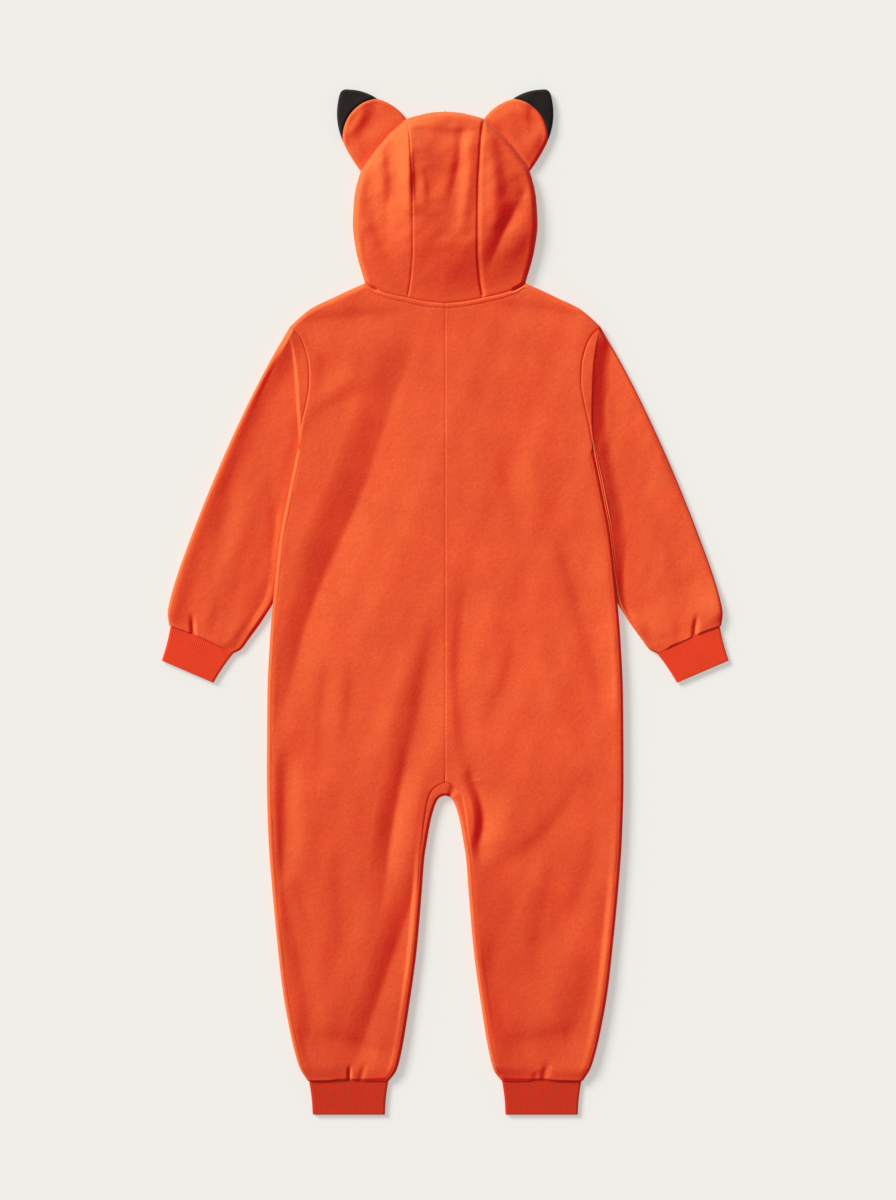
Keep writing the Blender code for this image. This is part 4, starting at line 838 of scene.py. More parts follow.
def front_panel(side):
    """A front with its leg: a level sheet on the floor, and two strips that turn up round the
    side and the inside of the leg, each a part of an ellipse carried along the fold."""
    fold_high, reach = EDGE[side], EDGE_REACH
    radius = fold_high / 2
    plan, start, _, on_armhole, on_leg = panel_plan(
        5, FRONT_COLUMNS, NECK_FRONT_Y, NECK_FRONT, lambda y: reach + under_side(y),
        lambda place: np.full(len(place), reach))
    x, y = plan[..., 0].copy(), plan[..., 1]
    opening = ZIP_GAP * smoothstep((y - ZIP_END_Y) / (20 * MM))
    x += (opening + SEAM_LAP) * FRONT_COLUMNS ** 6 * smoothstep((y - ZIP_END_Y) / (20 * MM))
    floor = np.dstack([x, y, (FOLD / 2) * (1 - shoulder_round(x, y, FOLD / 2))])
    first = int(np.argmax(~on_armhole))
    rows_y = start[first:, 1]
    side_x = along(BODY_SIDE, rows_y)
    squash = hem_roll(fold_high, rows_y - HEM_Y) / fold_high
    wrap = np.zeros((len(rows_y), len(WRAP_TURN), 3))
    tucked = under_side(rows_y)[:, None] * smoothstep((0.06 - np.sin(WRAP_TURN)) / 0.3)
    wrap[..., 0] = side_x[:, None] - reach * (1 - np.cos(WRAP_TURN)) - tucked
    wrap[..., 1] = rows_y[:, None]
    wrap[..., 2] = radius * (1 + np.sin(WRAP_TURN)) * squash[:, None]
    wrap[:, 0] = floor[first:, 0]
    lip = np.column_stack([side_x - side_inset(rows_y), rows_y, (fold_high - 0.2 * MM) * squash])
    lip[:, 0] = np.minimum(lip[:, 0], wrap[:, -1, 0])
    wrap = np.concatenate([wrap, lip[:, None]], axis=1)
    leg = int(np.argmax(on_leg))
    _, _, _, _, fold, way, place, _, _ = body_edges(5)
    fold, way, place = fold[leg:], way[leg:], place[leg:]
    squash = hem_roll(fold_high, fold[:, 1] - HEM_Y) / fold_high
    inside = np.zeros((len(fold), len(WRAP_TURN), 3))
    inside[..., :2] = fold[:, None] + way[:, None] * (reach * (1 - np.cos(WRAP_TURN)))[:, None]
    inside[..., 2] = radius * (1 + np.sin(WRAP_TURN)) * squash[:, None]
    inside[..., 0] = np.maximum(inside[..., 0], -SEAM_LAP)
    inside[:, 0] = floor[leg:, -1]
    crotch = (fold_high - CROTCH_LAY) * np.exp(-((CROTCH_FOLD_Y - fold[:, 1]) / (50 * MM)) ** 2)
    inside[..., 2] *= (1 - crotch / fold_high)[:, None]
    if side > 0:
        pinch = 3.0 * MM * np.exp(-((place - 5 * MM) / (2.2 * MM)) ** 2)
        inside[..., 2] -= pinch[:, None] * (inside[..., 2] / fold_high).clip(0, 1)
    lip = np.column_stack([fold + way * crotch_inset(place)[:, None],
                           (fold_high - 0.25 * MM - crotch) * squash])
    lip[:, 0] = np.maximum(lip[:, 0], -SEAM_LAP)
    inside = np.concatenate([inside, lip[:, None]], axis=1)
    return cloth_piece("front_" + SIDES[side], [floor, wrap[:, ::-1], inside], FLEECE, ORANGE,
                       side, 1.0)


fronts = {side: dress(front_panel(side), "fleece", "front_" + SIDES[side]) for side in SIDES}

# %% [markdown]
# ## The sleeves
#
# A sleeve is one piece, closed under the arm, and lies as a flattened tube. Its first rings end
# on the armhole seam and the others at the fold under the arm. There the sleeve tucks down beside
# the body, which leaves a soft valley along the side.

# %% Sleeves
OUTER_TURN = np.radians(np.linspace(-90, 70, 12))
INNER_TURN = np.radians(np.linspace(90, -90, 12))
SLEEVE_EDGE_OUT = np.array((0, 0.045, 0.10, 0.16, 0.215, 0.265))
SLEEVE_FOLD_PARTS = np.array((0, 0.06, 0.15, 0.27, 0.40, 0.54, 0.68, 0.81, 0.91, 0.965, 1.0))
UNDERARM_OUT = 0.30
SLEEVE_UPPER = np.concatenate([np.linspace(0.03, 0.74, 30), np.linspace(0.74, 1, 36)[1:]])
SLEEVE_LOWER = np.linspace(0.05, 1, 10)
SLEEVE_LOW = 7.4 * MM
SLEEVE_WRIST = 8.8 * MM
SLEEVE_WRIST_IN = 6.9 * MM
SLEEVE_LAY = {-1: 8.8 * MM, 1: 6.6 * MM}
SLEEVE_EDGE = {-1: 11.5 * MM, 1: 7.6 * MM}
SLEEVE_START = {-1: 7.4 * MM, 1: 13.0 * MM}
SLEEVE_DIP = {-1: 7.4 * MM, 1: 5.5 * MM}
SLEEVE_BANK = 10 * MM
SLEEVE_RISE = 60 * MM
SHOULDER_EASE = {-1: 70 * MM, 1: 30 * MM}
SLEEVE_EACH = 9
SLEEVE_LONG = 372 * MM


def bank(distance, y, side):
    """Fall beside the body, from 1 to 0: a short step on the left. On the right a small step,
    then a straight slope that eases out as a square over twice its length, shorter further
    down the sleeve."""
    if side < 0:
        return 1 - smoothstep((distance + 1.6 * MM) / (2.8 * MM))
    long = SLEEVE_BANK * (0.5 + 0.5 * smoothstep((y - 10 * MM) / (70 * MM)))
    part = np.clip(distance / long, 0, 2)
    slope = np.where(part < 1, 1 - part * 2 / 3, (2 - part) ** 2 / 3)
    return slope * (1 - 0.13 * smoothstep((distance + 0.4 * MM) / (1.2 * MM)))


def sleeve(side):
    """A sleeve: rings from the shoulder to the wrist, each a straight line from the outer fold to
    the armhole or the inner fold. An arc of a circle joins the layers at each fold, and the upper
    layer falls beside the body as bank() says, then rises slowly to the outer edge."""
    marks = np.arange(len(SLEEVE_EDGE_OUT) + len(SLEEVE_FOLD_PARTS))
    at = np.linspace(0, marks[-1], marks[-1] * SLEEVE_EACH + 1)
    parts = np.concatenate([SLEEVE_EDGE_OUT, UNDERARM_OUT + (1 - UNDERARM_OUT) * SLEEVE_FOLD_PARTS])
    part = np.interp(at, marks, parts)
    outside = polyline(SLEEVE_OUTSIDE, part)
    on_edge = len(SLEEVE_EDGE_OUT)
    edge_part = np.interp(at, marks[:on_edge + 1], np.append(ARMHOLE_ROWS[3:3 + on_edge], 1.0))
    fold_part = np.interp(at, marks[on_edge:], SLEEVE_FOLD_PARTS)
    on_armhole = at < on_edge
    inside = np.where(on_armhole[:, None], polyline(ARMHOLE, edge_part),
                      polyline(SLEEVE_INSIDE, fold_part))
    across = np.linspace(0, 1, 80)
    line = blend(outside[:, None], inside[:, None], across)
    begun = polyline(ARMHOLE, across * ARMHOLE_ROWS[3])
    line += (begun - line[0]) * ((1 - np.clip(at / 2, 0, 1)) ** 2)[:, None, None]
    line += WRIST_BOW * (4 * across * (1 - across))[:, None] * (part ** 8)[:, None, None]
    step = np.hypot(*np.diff(line, axis=1).transpose(2, 0, 1))
    length = np.concatenate([np.zeros((len(at), 1)), np.cumsum(step, axis=1)], axis=1)
    total = length[:, -1]
    from_hem = (1 - part) * SLEEVE_LONG
    ease = smoothstep((part - 0.83) / 0.12)
    edge_high = SLEEVE_EDGE[side] + (SLEEVE_EDGE[-1] - SLEEVE_EDGE[side]) * ease
    out_height = hem_roll(edge_high, from_hem, lay=SLEEVE_WRIST)
    in_height = SLEEVE_LOW + (SLEEVE_WRIST_IN - SLEEVE_LOW) * ease
    seam_low = smoothstep((on_edge - at) / 2.5)
    fold_out, fold_in = out_height[:, None] / 2, in_height[:, None] / 2
    end = total[:, None] - np.where(on_armhole[:, None], 0, fold_in)

    def in_plan(distance):
        """Plan points at distances along each ring's line: a straight read of the ring."""
        share = np.clip(distance / total[:, None], 0, 1) * (len(across) - 1)
        low = np.minimum(share.astype(int), len(across) - 2)
        rest = (share - low)[..., None]
        rowed = np.arange(len(at))[:, None]
        return line[rowed, low] * (1 - rest) + line[rowed, low + 1] * rest

    place = fold_out + (end - fold_out) * SLEEVE_UPPER
    plan = in_plan(place)
    x, y = plan[..., 0], plan[..., 1]
    from_end = end - place
    from_crease = (x - along(SLEEVE_CREASE[side], y)) * 0.97
    near_wrist = ease[:, None]
    seam_strip = smoothstep(seam_low[:, None] / 0.3)
    lay = SLEEVE_LAY[side] + (SLEEVE_WRIST - SLEEVE_LAY[side]) * near_wrist
    low = SLEEVE_DIP[side] + (SLEEVE_WRIST - SLEEVE_DIP[side]) * near_wrist
    sink = 0 if side < 0 else 2.4 * MM
    start = SLEEVE_START[side] + sink * (smoothstep((y - 40 * MM) / (80 * MM)) - 1)
    start = start + (in_height[:, None] - start) * near_wrist
    start = start + (EDGE[side] - 0.3 * MM - start) * seam_strip
    fall = bank(from_crease, y, side)
    fall += (1 - smoothstep(from_end / (16 * MM)) - fall) * near_wrist
    top = low + (start - low) * fall
    top += (lay - low) * smoothstep((from_crease - (20 * MM if side > 0 else 0)) / SLEEVE_RISE)
    drop = smoothstep((318 * MM - y) / SHOULDER_EASE[side])
    top = LAY + (top - LAY) * drop
    top += (edge_high[:, None] - lay) * np.exp(-(place / FOLD_REACH) ** 2)
    top += fold_height(SLEEVE_FOLDS, side * x, y) * smoothstep(from_end / (9 * MM))
    waves = 0.30 * MM * soft_waves(side * x, 0.6 * y, 50 * MM, 7)
    waves += 0.07 * MM * soft_waves(side * x, 0.6 * y, 17 * MM, 9)
    top += waves * smoothstep(from_end / (9 * MM))
    top += seam_edge(from_end, 0.45 * MM) * seam_strip
    top = hem_roll(top, from_hem[:, None], lay=np.minimum(top, SLEEVE_WRIST))
    top += hem_tucks(WRIST_TUCKS[side], side * x, from_hem[:, None] * np.ones_like(x))
    upper = np.dstack([x, y, np.maximum(top, 2 * FLEECE + 0.2 * MM)])
    outer_fold = np.dstack([in_plan(fold_out - fold_out * np.cos(OUTER_TURN)),
                            fold_out + fold_out * np.sin(OUTER_TURN)])
    lower = in_plan(fold_out + (end - fold_out) * SLEEVE_LOWER[::-1])
    lower = np.dstack([lower, np.zeros(lower.shape[:2])])
    runs = np.concatenate([lower, outer_fold, upper], axis=1)
    begin = int(np.argmax(~on_armhole))
    inner_fold = np.dstack([in_plan(total[:, None] - fold_in + fold_in * np.cos(INNER_TURN)),
                            fold_in + fold_in * np.sin(INNER_TURN)])[begin:]
    inner_fold[:, 0] = upper[begin:, -1]
    inner_fold[:, -1] = lower[begin:, 0]
    return cloth_piece("sleeve_" + SIDES[side], [runs, inner_fold], FLEECE, ORANGE, side)


sleeves = {side: dress(sleeve(side), "fleece", "sleeve_" + SIDES[side]) for side in SIDES}
print("each sleeve shows", round(sleeves[1]["area"], 3), "square metres")

# %% [markdown]
# ## Rib cuffs
#
# A cuff is a short tube of rib knit. The ribs are real relief here, about two millimetres apart,
# because they show at the cuff's outline, and the finish adds the stitches between them. Both
# read the same measure round the tube. The free end rolls over, since a cuff is worn doubled.

# %% Cuffs
RIB_RELIEF = 0.13 * MM
ENDS = 7


def stadium(length, height, share):
    """Point on a flattened tube's section at a share of its way round: two straight runs joined
    by half circles. It starts under the inner fold and goes along the floor first."""
    radius = height / 2
    flat = length - height
    around = 2 * flat + 2 * math.pi * radius
    run = share * around
    turn_out = np.clip((run - flat) / radius, 0, math.pi)
    back = np.clip(run - flat - math.pi * radius, 0, flat)
    turn_in = np.clip((run - 2 * flat - math.pi * radius) / radius, 0, math.pi)
    across = length - radius - np.minimum(run, flat) - radius * np.sin(turn_out) + back
    across += radius * np.sin(turn_in)
    up = radius - radius * np.cos(turn_out) - radius * (1 - np.cos(turn_in))
    way = np.stack([-np.sin(turn_out) + np.sin(turn_in),
                    -np.cos(turn_out) + (1 - np.cos(turn_in))], axis=-1)
    return across, up, way / np.linalg.norm(way, axis=-1, keepdims=True)


def cuff(name, side, top, end):
    """A cuff: stadium sections from the hem to the free end, each moved out by a sine of the way
    round for the ribs, and made lower over the last millimetres, where the end rolls over."""
    top, end = np.array(top) * MM, np.array(end) * MM
    top = top + (top - end) * 0.06
    part = np.concatenate([np.linspace(0, 0.96, 20), np.linspace(0.97, 1, ENDS)])[:, None]
    mean = (np.hypot(*(top[1] - top[0])) + np.hypot(*(end[1] - end[0]))) / 2
    around = 2 * (mean - CUFF_LAY) + math.pi * CUFF_LAY
    ribs = int(round(around / RIB_PITCH))
    share = np.linspace(0, 1, ribs * 6 + 1)[None, :]
    draw = 0.9 * MM * np.sin(math.pi * part)
    a, b = (top[i] * (1 - part) + end[i] * part for i in (0, 1))
    ahead = (b - a) / np.linalg.norm(b - a, axis=1, keepdims=True)
    a, b = a + ahead * draw, b - ahead * draw
    length = np.linalg.norm(b - a, axis=1, keepdims=True)
    bow = (WRIST_BOW if "wrist" in name else np.zeros(2)) * (1 - part) ** 3
    roll = np.clip((part - 0.96) / 0.04, 0, 1)
    height = CUFF_LAY - 0.3 * MM * part - 2.0 * MM * (1 - np.sqrt(1 - roll ** 2))
    height -= 0.5 * MM * np.exp(-(part / 0.035) ** 2)
    across, up, way = stadium(length, height, share)
    ridge = RIB_RELIEF * np.sin(2 * math.pi * ribs * share) * smoothstep((1 - roll) / 0.6)
    ridge = ridge * (1 - 0.7 * np.exp(-(up / (0.4 * MM)) ** 2))
    across = across + way[..., 0] * ridge
    up = np.maximum(up + way[..., 1] * ridge, 0)
    lift = (CUFF_LAY - height) / 2
    bowed = 4 * across / length * (1 - across / length)
    grid = np.dstack([a[:, :1] + ahead[:, :1] * across + bow[:, :1] * bowed,
                      a[:, 1:] + ahead[:, 1:] * across + bow[:, 1:] * bowed,
                      up + lift * np.ones_like(up)])
    grid[:, -1] = grid[:, 0]
    down = part * np.linalg.norm(end[0] - top[0])
    marks = np.dstack([share * ribs * RIB_PITCH * np.ones_like(part), down * np.ones_like(share)])
    return cloth_piece(name + SIDES[side], [grid], RIB, CUFF_RIB[name], side, marks=[marks])


cuffs = [dress(cuff(name, side, top, end), "rib", name + SIDES[side])
         for side in SIDES
         for name, top, end in (("wrist_cuff_", WRIST_TOP, WRIST_END),
                                ("ankle_cuff_", ANKLE_TOP, ANKLE_END))]

# %% [markdown]
# ## The hood
#
# The hood has a centre panel from the neck over the crown to the brow, and a side panel on each
# side. Empty, it lies on the face opening and keeps a low dome, steep at the rim and nearly level
# in the middle. Its height is read from the distance to the outline: a quarter circle over the
# first millimetres, then one slow arch to the middle. Broad troughs are pressed into it where
# the cloth has sunk, and the two seams run over it as soft grooves.

# %% Hood
HOOD_CROWN = 10 * MM
HOOD_TOP = 15.5 * MM
HOOD_EDGE = 7.2 * MM
HOOD_ROUND = 7.5 * MM
HOOD_UNDER = 1.15
HOOD_RISE = 70 * MM
HOOD_BROW_Y = 535 * MM
CROWN_FROM_Y = 553 * MM
HOOD_PARTS = np.array((0, 0.05, 0.11, 0.18, 0.26, 0.34, 0.43, 0.52, 0.61, 0.70, 0.79, 0.87, 0.94,
                       1.0))
HOOD_FINE = polyline(HOOD_OUTLINE, np.linspace(0, 1, 1200))
HOOD_CORNER = np.array(((553.7, 44.5),)) * MM
HOOD_SIDE_FINE = HOOD_FINE[HOOD_FINE[:, 1] <= HOOD_CORNER[0, 0]]
SEAM_FINE = polyline(np.concatenate([HOOD_SEAM, HOOD_CORNER]), np.linspace(0, 1, 400))


def resampled(line, fractions):
    """Points at fractions of the length of a fine line."""
    length = np.concatenate([[0], np.cumsum(np.hypot(*np.diff(line, axis=0).T))])
    at = np.asarray(fractions) * length[-1]
    return np.stack([np.interp(at, length, line[:, i]) for i in (0, 1)], axis=-1)


def distance_to(line, x, y):
    """Distance of each point from the nearest of a fine line's points."""
    points = np.stack([x.ravel(), y.ravel()], axis=-1)
    return np.concatenate([np.linalg.norm(some[:, None] - line, axis=-1).min(axis=1)
                           for some in np.array_split(points, 12)]).reshape(x.shape)


def hood_height(x, y, side=1):
    """Height of the hood: edge height plus the dome's arches, its folds and its seams."""
    inward = distance_to(HOOD_FINE[::4], np.abs(x), y)
    rim = np.sqrt(1 - (1 - np.clip(inward / HOOD_ROUND, 0, 1)) ** 2)
    crown = 1 - (1 - np.clip(inward / (70 * MM), 0, 1)) ** 2
    settled = smoothstep(inward / (16 * MM))
    full = HOOD_EDGE + (HOOD_TOP - HOOD_EDGE) * rim + HOOD_CROWN * crown
    full += fold_height(HOOD_FOLDS, side * x, y) * settled
    full += (0.4 * MM * soft_waves(side * x, y, 45 * MM, 13)
             + 0.12 * MM * soft_waves(side * x, y, 19 * MM, 14)) * settled
    beside = np.abs(x) - np.interp(y, SEAM_FINE[:, 1], SEAM_FINE[:, 0])
    gentle = np.where(side * x > 0, np.where(beside > 0, 3.2, 1.4), 1.0)
    dive = seam_edge(beside / gentle, np.where(side * x > 0, 1.6, 0.9) * MM) * rim
    up = y - neck_line(np.minimum(np.abs(x), NECK_SIDE_X))
    above = smoothstep(up / HOOD_RISE)
    corner = np.sqrt(1 - (1 - np.clip(inward / (FOLD / 2), 0, 1)) ** 2)
    roll = np.sqrt(1 - (1 - np.clip(up / (4.5 * MM), 0, 1)) ** 2)
    slit = neck_slit(x) * np.exp(-(up / (1.6 * MM)) ** 2)
    low = FOLD / 2 + (LAY - 0.6 * MM + 0.8 * MM * roll - 3.6 * MM * slit - FOLD / 2) * corner
    return low + (full - low) * above + dive * smoothstep(up / (4 * MM))


def under_rim(edge, target, rim, steps, turns=9):
    """From the outermost edge round to the floor, and along it to the face opening. edge and
    target are plan points, and rim is the height of the edge."""
    turn = np.radians(np.linspace(90 / turns, 90, turns))
    run = target - edge
    length = np.linalg.norm(run, axis=1, keepdims=True)
    ahead = run / length
    reach = HOOD_UNDER * rim[:, None]
    inward = np.concatenate([reach * (1 - np.cos(turn)),
                             reach + (length - reach) * np.linspace(0, 1, steps + 1)[1:]], axis=1)
    up = np.concatenate([rim[:, None] * (1 - np.sin(turn)), np.zeros((len(edge), steps))], axis=1)
    return edge[:, None] + ahead[:, None] * inward[..., None], up


def hood_rows(each=10):
    """Rows of the hood from the neck to the crown: the share of the way up, and in each row the
    seam, the outline and the edge of the face opening."""
    at = np.linspace(0, len(HOOD_PARTS) - 1, (len(HOOD_PARTS) - 1) * each + 1)
    part = np.interp(at, np.arange(len(HOOD_PARTS)), HOOD_PARTS)
    seam = polyline(HOOD_SEAM, part)
    outline = resampled(HOOD_SIDE_FINE, part ** 0.9)
    return part, seam, outline, polyline(FACE_EDGE, part)


EVEN = np.linspace(0, 1, 64)
TURNED = np.sin(EVEN * math.pi / 2)


def hood_side(side):
    """A side panel of the hood: each row runs from the seam out to the outline, with more points
    near it, then turns under along a quarter circle and goes on to the face opening."""
    part, seam, outline, opening = hood_rows()
    near_neck = ((1 - part) ** 6)[:, None]
    share = TURNED + (EVEN - TURNED) * near_neck
    plan = blend(seam[:, None] - np.array((SEAM_LAP, 0)), outline[:, None], share)
    neck_x = plan[0, :, 0]
    bend = neck_line(neck_x) - plan[0, :, 1]
    plan[..., 1] += bend * near_neck
    height = hood_height(plan[..., 0], plan[..., 1], side)
    rim = height[:, -1].copy()
    below, up = under_rim(outline, opening, rim, 8)
    scoop = resampled(polyline(NECK_FRONT, np.linspace(1, 0, 300)),
                      np.linspace(0, 1, below.shape[1] + 1)[1:])
    below += (scoop - below[0]) * ((1 - part) ** 14)[:, None, None]
    upper = np.dstack([plan, height])
    lower = np.dstack([below, up])
    return cloth_piece("hood_side_" + SIDES[side], [np.concatenate([upper, lower], axis=1)],
                       FLEECE, ORANGE, side)


def hood_centre():
    """The centre panel: each row runs from seam to seam, widening over the crown to the outline,
    and then the rows turn under to the brow."""
    part, seam, outline, opening = hood_rows()
    across = np.linspace(-1, 1, 81)
    top_x, top_y = outline[-1]
    crown = HOOD_FINE[HOOD_FINE[:, 1] > CROWN_FROM_Y]
    crown_y = np.interp(-np.abs(across) * top_x, -crown[:, 0], crown[:, 1])
    x = across * (seam[:, :1] + SEAM_LAP)
    y = seam[:, 1:] + (neck_line(x[0]) - seam[0, 1]) * ((1 - part) ** 4)[:, None]
    y = y + (crown_y - top_y) * 0.6 * (part ** 4)[:, None]
    turned = TURNED[1:, None]
    over_x = across * (seam[-1, 0] + SEAM_LAP + (top_x - seam[-1, 0] - SEAM_LAP) * turned)
    over_y = y[-1] + (crown_y - y[-1]) * turned
    x, y = np.concatenate([x, over_x]), np.concatenate([y, over_y])
    height = hood_height(x, y)
    height[-1] = HOOD_EDGE
    below, up = under_rim(outline[-1:], opening[-1:], np.array([HOOD_EDGE]), 8)
    moved = ((top_y - below[0, :, 1]) / (top_y - opening[-1, 1]))[:, None]
    low_x = across * below[0, :, :1]
    low_y = crown_y + (HOOD_BROW_Y - crown_y) * moved
    grid = np.concatenate([np.dstack([x, y, height]),
                           np.dstack([low_x, low_y, up[0][:, None] * np.ones_like(across)])])
    return cloth_piece("hood_centre", [grid], FLEECE, ORANGE)


hood_sides = {side: dress(hood_side(side), "fleece", "hood_side_" + SIDES[side]) for side in SIDES}
hood_middle = dress(hood_centre(), "fleece", "hood_centre")

# %% [markdown]
# ## The ears
#
# Each ear is two layers sewn edge to edge and turned, with a black tip pieced on along a curved
# seam. It is worked out by the distance from the ear's outline: the height follows a quarter
# circle over the first few millimetres and then a slow crown, so the layers meet in a soft edge.

# %% Ears
EAR_CENTRE = np.array((72.3, 532.3)) * MM
EAR_RADIUS = 45.5 * MM
EAR_THICK = 9.6 * MM
EAR_CROWN = 1.3 * MM
EAR_TIP = np.array((113.6, 580.8)) * MM
EAR_TIP_ROUND = 7.8 * MM
EAR_OUT = np.array((0.75, 0.66))
EAR_LAP = 2.0 * MM
EAR_TOUCH = 0.05 * MM
EAR_GROOVE = {-1: 0.0, 1: 3.2 * MM}
EAR_NEAR = 0.3 * MM


def ear_plan(region, across, down):
    """Plan of an ear's round part or of its tip, from the outer edge to the upper one."""
    turn = np.radians(-4 + 87.4 * across)
    way = np.column_stack([np.cos(turn), np.sin(turn)])
    seam = EAR_CENTRE + EAR_RADIUS * way
    if region == "round":
        start, end = polyline(HOOD_OUTLINE[4:10], across) - EAR_LAP * EAR_OUT, seam
        bows = np.array(((1.2, -0.6), (-2.3, 3.3))) * MM
    else:
        tip_turn = np.radians(5 + 100 * across)
        end = EAR_TIP + EAR_TIP_ROUND * np.column_stack([np.cos(tip_turn), np.sin(tip_turn)])
        start = seam
        bows = np.array(((4.6, 0), (-0.9, 2.6))) * MM
    bow = bows[0] * (1 - across)[:, None] + bows[1] * across[:, None]
    return blend(start, end, down[:, None]) + (4 * down * (1 - down))[:, None, None] * bow


def ear_outline():
    """Outermost edge of a whole ear as one line, from its foot round the tip and back."""
    fine, ends = np.linspace(0, 1, 40), np.array((0.0, 1.0))
    body, tip = ear_plan("round", ends, fine), ear_plan("tip", ends, fine)
    end = ear_plan("tip", fine, np.array((1.0,)))[0]
    return np.concatenate([body[:, 0], tip[:, 0], end, tip[::-1, 1], body[::-1, 1]])


def from_outline(plan, line):
    """Distance of each point from an outline drawn anticlockwise, and the way straight in."""
    start, run = line[:-1], np.diff(line, axis=0)
    keep = np.hypot(*run.T) > 1e-7
    start, run = start[keep], run[keep]
    gap = plan[..., None, :] - start
    part = np.clip((gap * run).sum(-1) / (run ** 2).sum(-1), 0, 1)
    inward = gap - part[..., None] * run
    distance = np.linalg.norm(inward, axis=-1)
    pick = distance.argmin(-1)
    distance = np.take_along_axis(distance, pick[..., None], -1)
    inward = np.take_along_axis(inward, pick[..., None, None], -2)[..., 0, :]
    across = np.stack([-run[pick, 1], run[pick, 0]], axis=-1)
    across /= np.linalg.norm(across, axis=-1, keepdims=True)
    return distance[..., 0], np.where(distance > EAR_NEAR, inward / np.maximum(distance, 1e-9),
                                      across)


def ear_piece(name, region, side, upward, slot, finish):
    """One layer of an ear: a shallow dish whose edges turn down, or up, to the other layer's."""
    across = (1 - np.cos(np.linspace(0, math.pi, 45))) / 2
    down = np.linspace(0, 1, 36) if region == "round" else 1 - np.linspace(1, 0, 40) ** 1.4
    plan = ear_plan(region, across, down)
    distance, inward = from_outline(plan, ear_outline())
    middle = EAR_THICK / 2
    flat = 1 - np.clip(distance / middle, 0, 1)
    upright = np.sqrt(1 - flat ** 2)
    from_seam = np.abs(np.linalg.norm(plan - EAR_CENTRE, axis=-1) - EAR_RADIUS)
    surfaces = []
    for depth in (0.0, FLEECE):
        height = EAR_TOUCH + (middle - EAR_TOUCH - depth) * upright
        if upward:
            height += EAR_CROWN * smoothstep(distance / (15 * MM))
            height += seam_edge(from_seam, 1.3 * MM, 0.4 * MM) * upright
            x, y = side * plan[..., 0], plan[..., 1]
            height += 0.25 * MM * soft_waves(x, y, 26 * MM, 21) * upright
            height += fold_height(EAR_FOLDS, x, y) * upright
            from_hood = distance_to(HOOD_FINE[::4], plan[..., 0], plan[..., 1]) / (2.4 * MM)
            height -= EAR_GROOVE[side] * np.exp(-from_hood ** 2) * upright
        z = middle + height if upward else middle - height
        surfaces.append(np.dstack([plan + inward * (flat * depth)[..., None], z]))
    made = two_sided(name + SIDES[side], surfaces[0], surfaces[1], finish, side)
    return dress(made, slot, name + SIDES[side])


def two_sided(name, outer, inner, finish, side):
    """Closed wall whose outer and inner surfaces are both given, on grids of the same size."""
    mirror = np.array((side, 1, 1))
    points, faces, first = weld([outer * mirror])
    inner = (inner * mirror).reshape(-1, 3)[first]
    skin = closed_skin(faces, len(points))
    everything = np.concatenate([points, inner])
    if (everything[skin].mean(axis=1) * quad_normals(everything, skin)).sum() < 0:
        skin = skin[:, ::-1]
    made = mesh_piece(name, everything, skin, finish)
    # Painted light and shade: each point's slope towards the lamp, stored for the colour.
    brush(made, point_normals(everything, skin))
    made["area"] = surface_area(points, faces)
    return made


ears = [ear_piece(name, region, side, upward, slot, finish)
        for side in SIDES
        for name, region, upward, slot, finish in (
            ("ear_back_", "round", True, "fleece", ORANGE),
            ("ear_tip_back_", "tip", True, "black_fleece", BLACK),
            ("ear_front_", "round", False, "fleece", ORANGE),
            ("ear_tip_front_", "tip", False, "black_fleece", BLACK))]

# %% [markdown]
# ## The zip
#
# The zip lies underneath, in the front opening. Its tapes are woven and its teeth are moulded
# pairs that hook into each other, each a six-sided block of a few faces. The slider and its
# pull tab keep the shapes of their solids, in satin metal.

# %% Zip
TAPE_FROM, TAPE_TO = -138 * MM, 299 * MM
TAPE_LOW, TAPE_HIGH = 2.95 * MM, 3.85 * MM
TOOTH_PITCH = 2.6 * MM
TOOTH = rows((-0.45, 3.0), (-0.75, 0.9), (-0.5, -0.55), (0.5, -0.55), (0.75, 0.9), (0.45, 3.0))


def zip_tape(side):
    """Flat woven tape with a thin bead along its inner edge."""
    across = np.concatenate([np.linspace(0.15, 2.2, 8), np.linspace(3, 14, 12)]) * MM
    down = np.linspace(TAPE_FROM, TAPE_TO, 60)
    x, y = np.meshgrid(across, down)
    bead = 0.35 * MM * np.exp(-((x - 1.2 * MM) / (0.7 * MM)) ** 2)
    marks = np.dstack([x, y])
    made = cloth_piece("zip_tape_" + SIDES[side], [np.dstack([x, y, TAPE_LOW - bead])],
                       TAPE_HIGH - TAPE_LOW, TAPE_CLOTH, side, 1.0, marks=[marks])
    return dress(made, "zip_tape", "zip_tape_" + SIDES[side])


def blocks(name, outlines, low, high, finish):
    """Upright prisms from outlines of an even number of corners, drawn anticlockwise."""
    number, corners = outlines.shape[:2]
    flat = outlines.reshape(-1, 2)
    points = np.concatenate([np.column_stack([flat, np.full(len(flat), z)]) for z in (low, high)])
    here = np.arange(corners)
    after = (here + 1) % corners
    walls = np.column_stack([here, after, after + number * corners, here + number * corners])
    half = np.arange(corners // 2 - 1)
    lids = np.column_stack([half, half + 1, corners - 2 - half, corners - 1 - half])
    one = np.concatenate([walls, lids[:, ::-1], lids + number * corners])
    faces = (np.arange(number) * corners)[:, None, None] + one[None]
    return mesh_piece(name, points, faces.reshape(-1, 4), finish)


